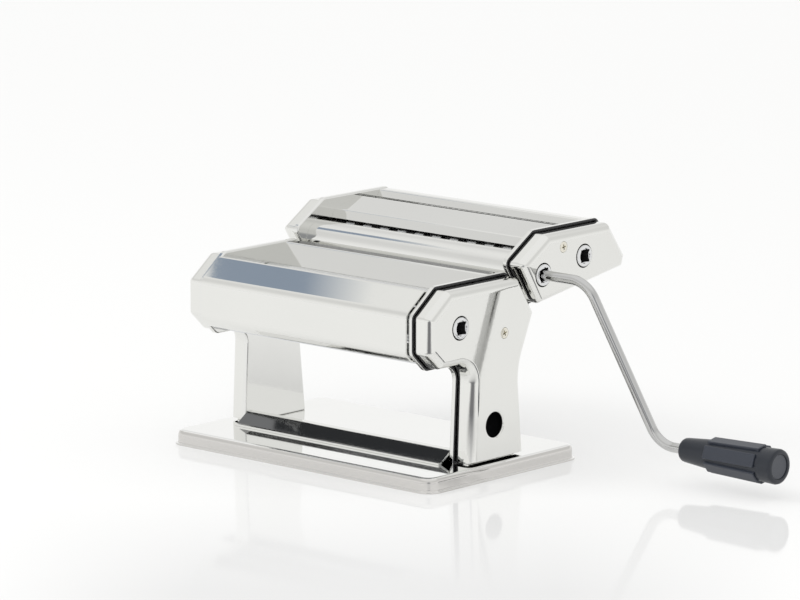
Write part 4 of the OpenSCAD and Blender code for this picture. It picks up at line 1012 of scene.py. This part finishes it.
# Crank: a round rod swept along its bends, and the moulded grip
CRANK_PLACE = about(WIDE_DRIVE, CRANK_SWING)
GRIP_PLACE = CRANK_PLACE @ Matrix.Translation((GRIP_X, 0, -CRANK_THROW))
ORIGIN = Vector((0, 0))
ROD_SEGMENTS = 40
ROD_STEPS = 16
ROD_IN_SOCKET = 3
ROD_IN_GRIP = 20


def crank_path():
    """Points (x, z) of the rod's middle line, each with the rod's angle there."""
    lean = math.atan2(CRANK_THROW, CRANK_LEAN)
    cut_back = BEND_R * math.tan(lean / 2)
    bend_1 = Vector((FACE_X + CRANK_REACH, 0))
    bend_2 = bend_1 + Vector((CRANK_LEAN, -CRANK_THROW))
    start, end = bend_1 - Vector((cut_back, 0)), bend_2 + Vector((cut_back, 0))
    path = [(Vector((FACE_X - ROD_IN_SOCKET, 0)), 0.0)]
    for k in range(ROD_STEPS + 1):
        a = lean * k / ROD_STEPS
        path.append((start + Vector((BEND_R * math.sin(a), BEND_R * (math.cos(a) - 1))), -a))
    for k in range(ROD_STEPS + 1):
        a = lean * (1 - k / ROD_STEPS)
        path.append((end + Vector((-BEND_R * math.sin(a), BEND_R * (1 - math.cos(a)))), -a))
    return path + [(Vector((GRIP_X + ROD_IN_GRIP, -CRANK_THROW)), 0.0)]


def crank_rod():
    circle = [polar(ROD_R, 360 * k / ROD_SEGMENTS) for k in range(ROD_SEGMENTS)]
    rings = []
    for p, a in crank_path():
        across = Vector((-math.sin(a), math.cos(a)))
        rings.append([(p.x + across.x * c.x, c.y, p.y + across.y * c.x) for c in circle])
    obj = make("crank_rod_swept", carried(loft(rings), CRANK_PLACE))
    # The crank rod takes the greyer copy of the rod steel: painted reflection
    dress(obj, "crank", CRANK_PAINTED_REFLECTION, "crank_rod", slot="rod_steel")


def grip_radius(x):
    return GRIP_MID + (GRIP_LARGE - GRIP_MID) * (x - PAD_START) / (GRIP_LEN - PAD_START)


def grip():
    small, large, length, pad_stop = GRIP_SMALL, GRIP_LARGE, GRIP_LEN, GRIP_LEN - PAD_END
    bore, seat = ROD_R + 0.05, CAP_R + 0.05
    stations = [(bore, 6), (bore, 0.3), (ROD_R + 0.5, 0), (small - 1.6, 0), (small - 0.6, 0.4),
                (small - 0.1, 1.2), (small + 0.1, 2.4), (GRIP_MID, PAD_START),
                (grip_radius(pad_stop), pad_stop), (large, length - 1.8),
                (large - 0.3, length - 0.8), (large - 1.0, length - 0.2),
                (large - 1.6, length), (CAP_R + 0.5, length), (seat, length - 0.4),
                (seat, length - CAP_RECESS - 2)]
    obj = make("grip_moulding", carried(turned(stations, ORIGIN, 96), GRIP_PLACE))
    dress(obj, "grip", GRIP, "crank_grip")


def grip_pads():
    """Raised flat pads round the grip, which rise with its taper; they take a lighter copy of the grip's
    plastic, which is painted light.
    """
    half = PAD_SHARE * GRIP_MID * math.sin(math.pi / PAD_COUNT)
    verts = []
    for x in (PAD_START, GRIP_LEN - PAD_END):
        top = grip_radius(x) + PAD_RISE
        low_side = top - PAD_DEPTH
        verts += [(x, -half, top), (x, half, top), (x, half, low_side), (x, -half, low_side)]
    faces = [(0, 1, 2, 3), (7, 6, 5, 4), (0, 4, 5, 1), (1, 5, 6, 2), (2, 6, 7, 3), (3, 7, 4, 0)]
    turns = [about(ORIGIN, 360 * k / PAD_COUNT) for k in range(PAD_COUNT)]
    pads = [carried((verts, faces), GRIP_PLACE @ t) for t in turns]
    dress(make("grip_pads", joined(*pads)), "grip", PAD_PAINTED_LIGHT, bevel=PAD_BEVEL, slot="grip_plastic")


def grip_cap():
    r, top = CAP_R, GRIP_LEN - CAP_RECESS
    stations = [(r - 0.5, GRIP_LEN - 3), (r, GRIP_LEN - 2.6), (r, top - 0.15), (r - 0.15, top),
                (r - 0.8, top), (r - 1.0, top - 0.12), (0.2, top - 0.05)]
    obj = make("grip_cap_disc", carried(turned(stations, ORIGIN), GRIP_PLACE))
    dress(obj, "grip", CAP, "grip_end_cap")


crank_rod()
grip()
grip_pads()
grip_cap()

# Studio: floor, surroundings, lamps and dark cards; flat shapes are in millimetres, all else in metres
FLOOR_HALF = 6000
FLOOR_GLOW = 0.35
WHITE = (1, 1, 1, 1)

# Surroundings: direction of the grey patch, and bands as pairs of height and brightness
PATCH_TO = (0.6585, -0.7288, 0.1876)
SKY_BANDS = ((0.12, 1.0), (0.25, 0.95), (0.42, 0.82), (0.6, 0.8), (0.8, 1.0))


def rectangle(w, h):
    """Flat shape of half width w and half height h."""
    return [(-w, -h, 0), (w, -h, 0), (w, h, 0), (-w, h, 0)], [(0, 1, 2, 3)]


def floor():
    obj = make("floor", rectangle(FLOOR_HALF, FLOOR_HALF))
    material = bpy.data.materials.new("floor")
    tree = graph_of(material)
    glossy = add(tree, "ShaderNodeBsdfPrincipled", {"Base Color": (0.93, 0.93, 0.925, 1), "Roughness": 0.06,
                                                    "IOR": 1.8})
    white = add(tree, "ShaderNodeEmission", {"Color": WHITE, "Strength": 1.0})
    rays = add(tree, "ShaderNodeLightPath").outputs
    seen = add(tree, "ShaderNodeMath", {0: rays["Is Camera Ray"], 1: rays["Is Glossy Ray"]},
               operation="MAXIMUM")
    share = add(tree, "ShaderNodeMath", {0: seen.outputs[0], 1: FLOOR_GLOW}, operation="MULTIPLY").outputs[0]
    mixed = add(tree, "ShaderNodeMixShader", {0: share, 1: glossy.outputs[0], 2: white.outputs[0]})
    add(tree, "ShaderNodeOutputMaterial", {"Surface": mixed.outputs[0]})
    obj.data.materials.append(material)


def world():
    """White surroundings, pale grey bands by height and a soft grey patch for the photographer."""
    studio = bpy.data.worlds.new("studio")
    bpy.context.scene.world = studio
    tree = graph_of(studio)
    direction = add(tree, "ShaderNodeTexCoord").outputs["Generated"]
    height = add(tree, "ShaderNodeSeparateXYZ", {0: direction}).outputs["Z"]
    bands = add(tree, "ShaderNodeValToRGB", {"Fac": height})
    for place, value in SKY_BANDS:
        stop = bands.color_ramp.elements.new(place)
        stop.color = (value, value, value * 0.99, 1)
    bands.color_ramp.elements[0].color = WHITE
    bands.color_ramp.elements[-1].color = WHITE
    white = add(tree, "ShaderNodeBackground", {"Color": WHITE, "Strength": 1.0})
    around = add(tree, "ShaderNodeBackground", {"Color": bands.outputs[0], "Strength": 1.0})
    grey = add(tree, "ShaderNodeBackground", {"Color": (0.40, 0.41, 0.43, 1), "Strength": 1.0})
    near = add(tree, "ShaderNodeVectorMath", {0: direction, 1: PATCH_TO}, operation="DOT_PRODUCT")
    patch = add(tree, "ShaderNodeMapRange",
                {"Value": near.outputs["Value"], "From Min": 0.955, "From Max": 0.99})
    lit = add(tree, "ShaderNodeMixShader", {0: patch.outputs[0], 1: around.outputs[0], 2: grey.outputs[0]})
    seen = add(tree, "ShaderNodeLightPath").outputs["Is Camera Ray"]
    mixed = add(tree, "ShaderNodeMixShader", {0: seen, 1: lit.outputs[0], 2: white.outputs[0]})
    add(tree, "ShaderNodeOutputWorld", {"Surface": mixed.outputs[0]})


def lamp(name, place, aim, size, power):
    light = bpy.data.lights.new(name, "AREA")
    light.shape = "RECTANGLE"
    light.size, light.size_y = size
    light.energy = power
    obj = bpy.data.objects.new(name, light)
    obj.visible_glossy = False
    obj.location = place
    obj.rotation_euler = (Vector(aim) - Vector(place)).to_track_quat("-Z", "Y").to_euler()
    bpy.context.scene.collection.objects.link(obj)


def card(name, centre, normal, spin, size, fades, colour):
    """Dark card that only first reflections show; size and fades at -x, +x, -y and +y are in millimetres."""
    w, h = size[0] / 2, size[1] / 2
    obj = make(name, rectangle(w, h))
    obj.location = centre
    turn_to = Vector(normal).to_track_quat("Z", "Y") @ Quaternion((0, 0, 1), math.radians(spin))
    obj.rotation_euler = turn_to.to_euler()
    material = bpy.data.materials.new(name)
    tree = graph_of(material)
    place = add(tree, "ShaderNodeSeparateXYZ", {0: add(tree, "ShaderNodeTexCoord").outputs["Object"]})
    bounces = add(tree, "ShaderNodeLightPath").outputs["Glossy Depth"]
    share = add(tree, "ShaderNodeMath", {0: bounces, 1: 1.5}, operation="LESS_THAN").outputs[0]
    for axis, edge, fade in zip("XXYY", (-w, w, -h, h), fades):
        inner = edge - math.copysign(max(fade, 0.1), edge)
        soft = add(tree, "ShaderNodeMapRange", {"Value": place.outputs[axis], "From Min": edge * MM,
                                                "From Max": inner * MM})
        share = add(tree, "ShaderNodeMath", {0: soft.outputs[0], 1: share}, operation="MULTIPLY").outputs[0]
    clear = add(tree, "ShaderNodeBsdfTransparent")
    glow = add(tree, "ShaderNodeEmission", {"Color": (*colour, 1), "Strength": 1.0})
    mixed = add(tree, "ShaderNodeMixShader", {0: share, 1: clear.outputs[0], 2: glow.outputs[0]})
    add(tree, "ShaderNodeOutputMaterial", {"Surface": mixed.outputs[0]})
    obj.data.materials.append(material)
    obj.visible_camera = False
    obj.visible_diffuse = False
    obj.visible_shadow = False


floor()
world()
lamp("key", (-0.9, -1.1, 1.6), (0, 0, 0.08), (0.9, 0.9), 10)
lamp("fill", (1.2, -1.3, 0.6), (0.1, 0, 0.06), (0.5, 0.5), 4)
card("bevel_card", (-0.435, -0.05, 0.56), (0.66, 0, -0.75), 0, (110, 110), (0, 0, 4, 45), (0.30, 0.36, 0.45))
card("floor_flag", (0.41, -0.45, 0.0008), (0, 0, 1), -47.9, (980, 420), (60, 200, 120, 120),
     (0.22, 0.22, 0.23))
# Dark card under the head, seen only in reflections: painted shade of the head's underside
card("under_head_painted_shade", (-0.028, -0.0185, 0.0605), (0, 0, -1), 0, (136, 17), (2, 2, 2, 2), (0.15, 0.155, 0.16))


def camera():
    """Camera at the photograph's angle."""
    azimuth, elevation, distance = math.radians(42.1), math.radians(10.81), 2.864
    aim = Vector((0.0101, 0.0104, 0.0850))
    data = bpy.data.cameras.new("photo")
    data.sensor_width = 36
    data.lens = 234.1
    data.clip_end = 100
    obj = bpy.data.objects.new("photo", data)
    back = Vector((math.sin(azimuth) * math.cos(elevation), -math.cos(azimuth) * math.cos(elevation),
                   math.sin(elevation)))
    obj.location = aim + back * distance
    obj.rotation_euler = back.to_track_quat("Z", "Y").to_euler()
    bpy.context.scene.collection.objects.link(obj)
    bpy.context.scene.camera = obj


camera()
bpy.context.scene.view_settings.view_transform = "Standard"
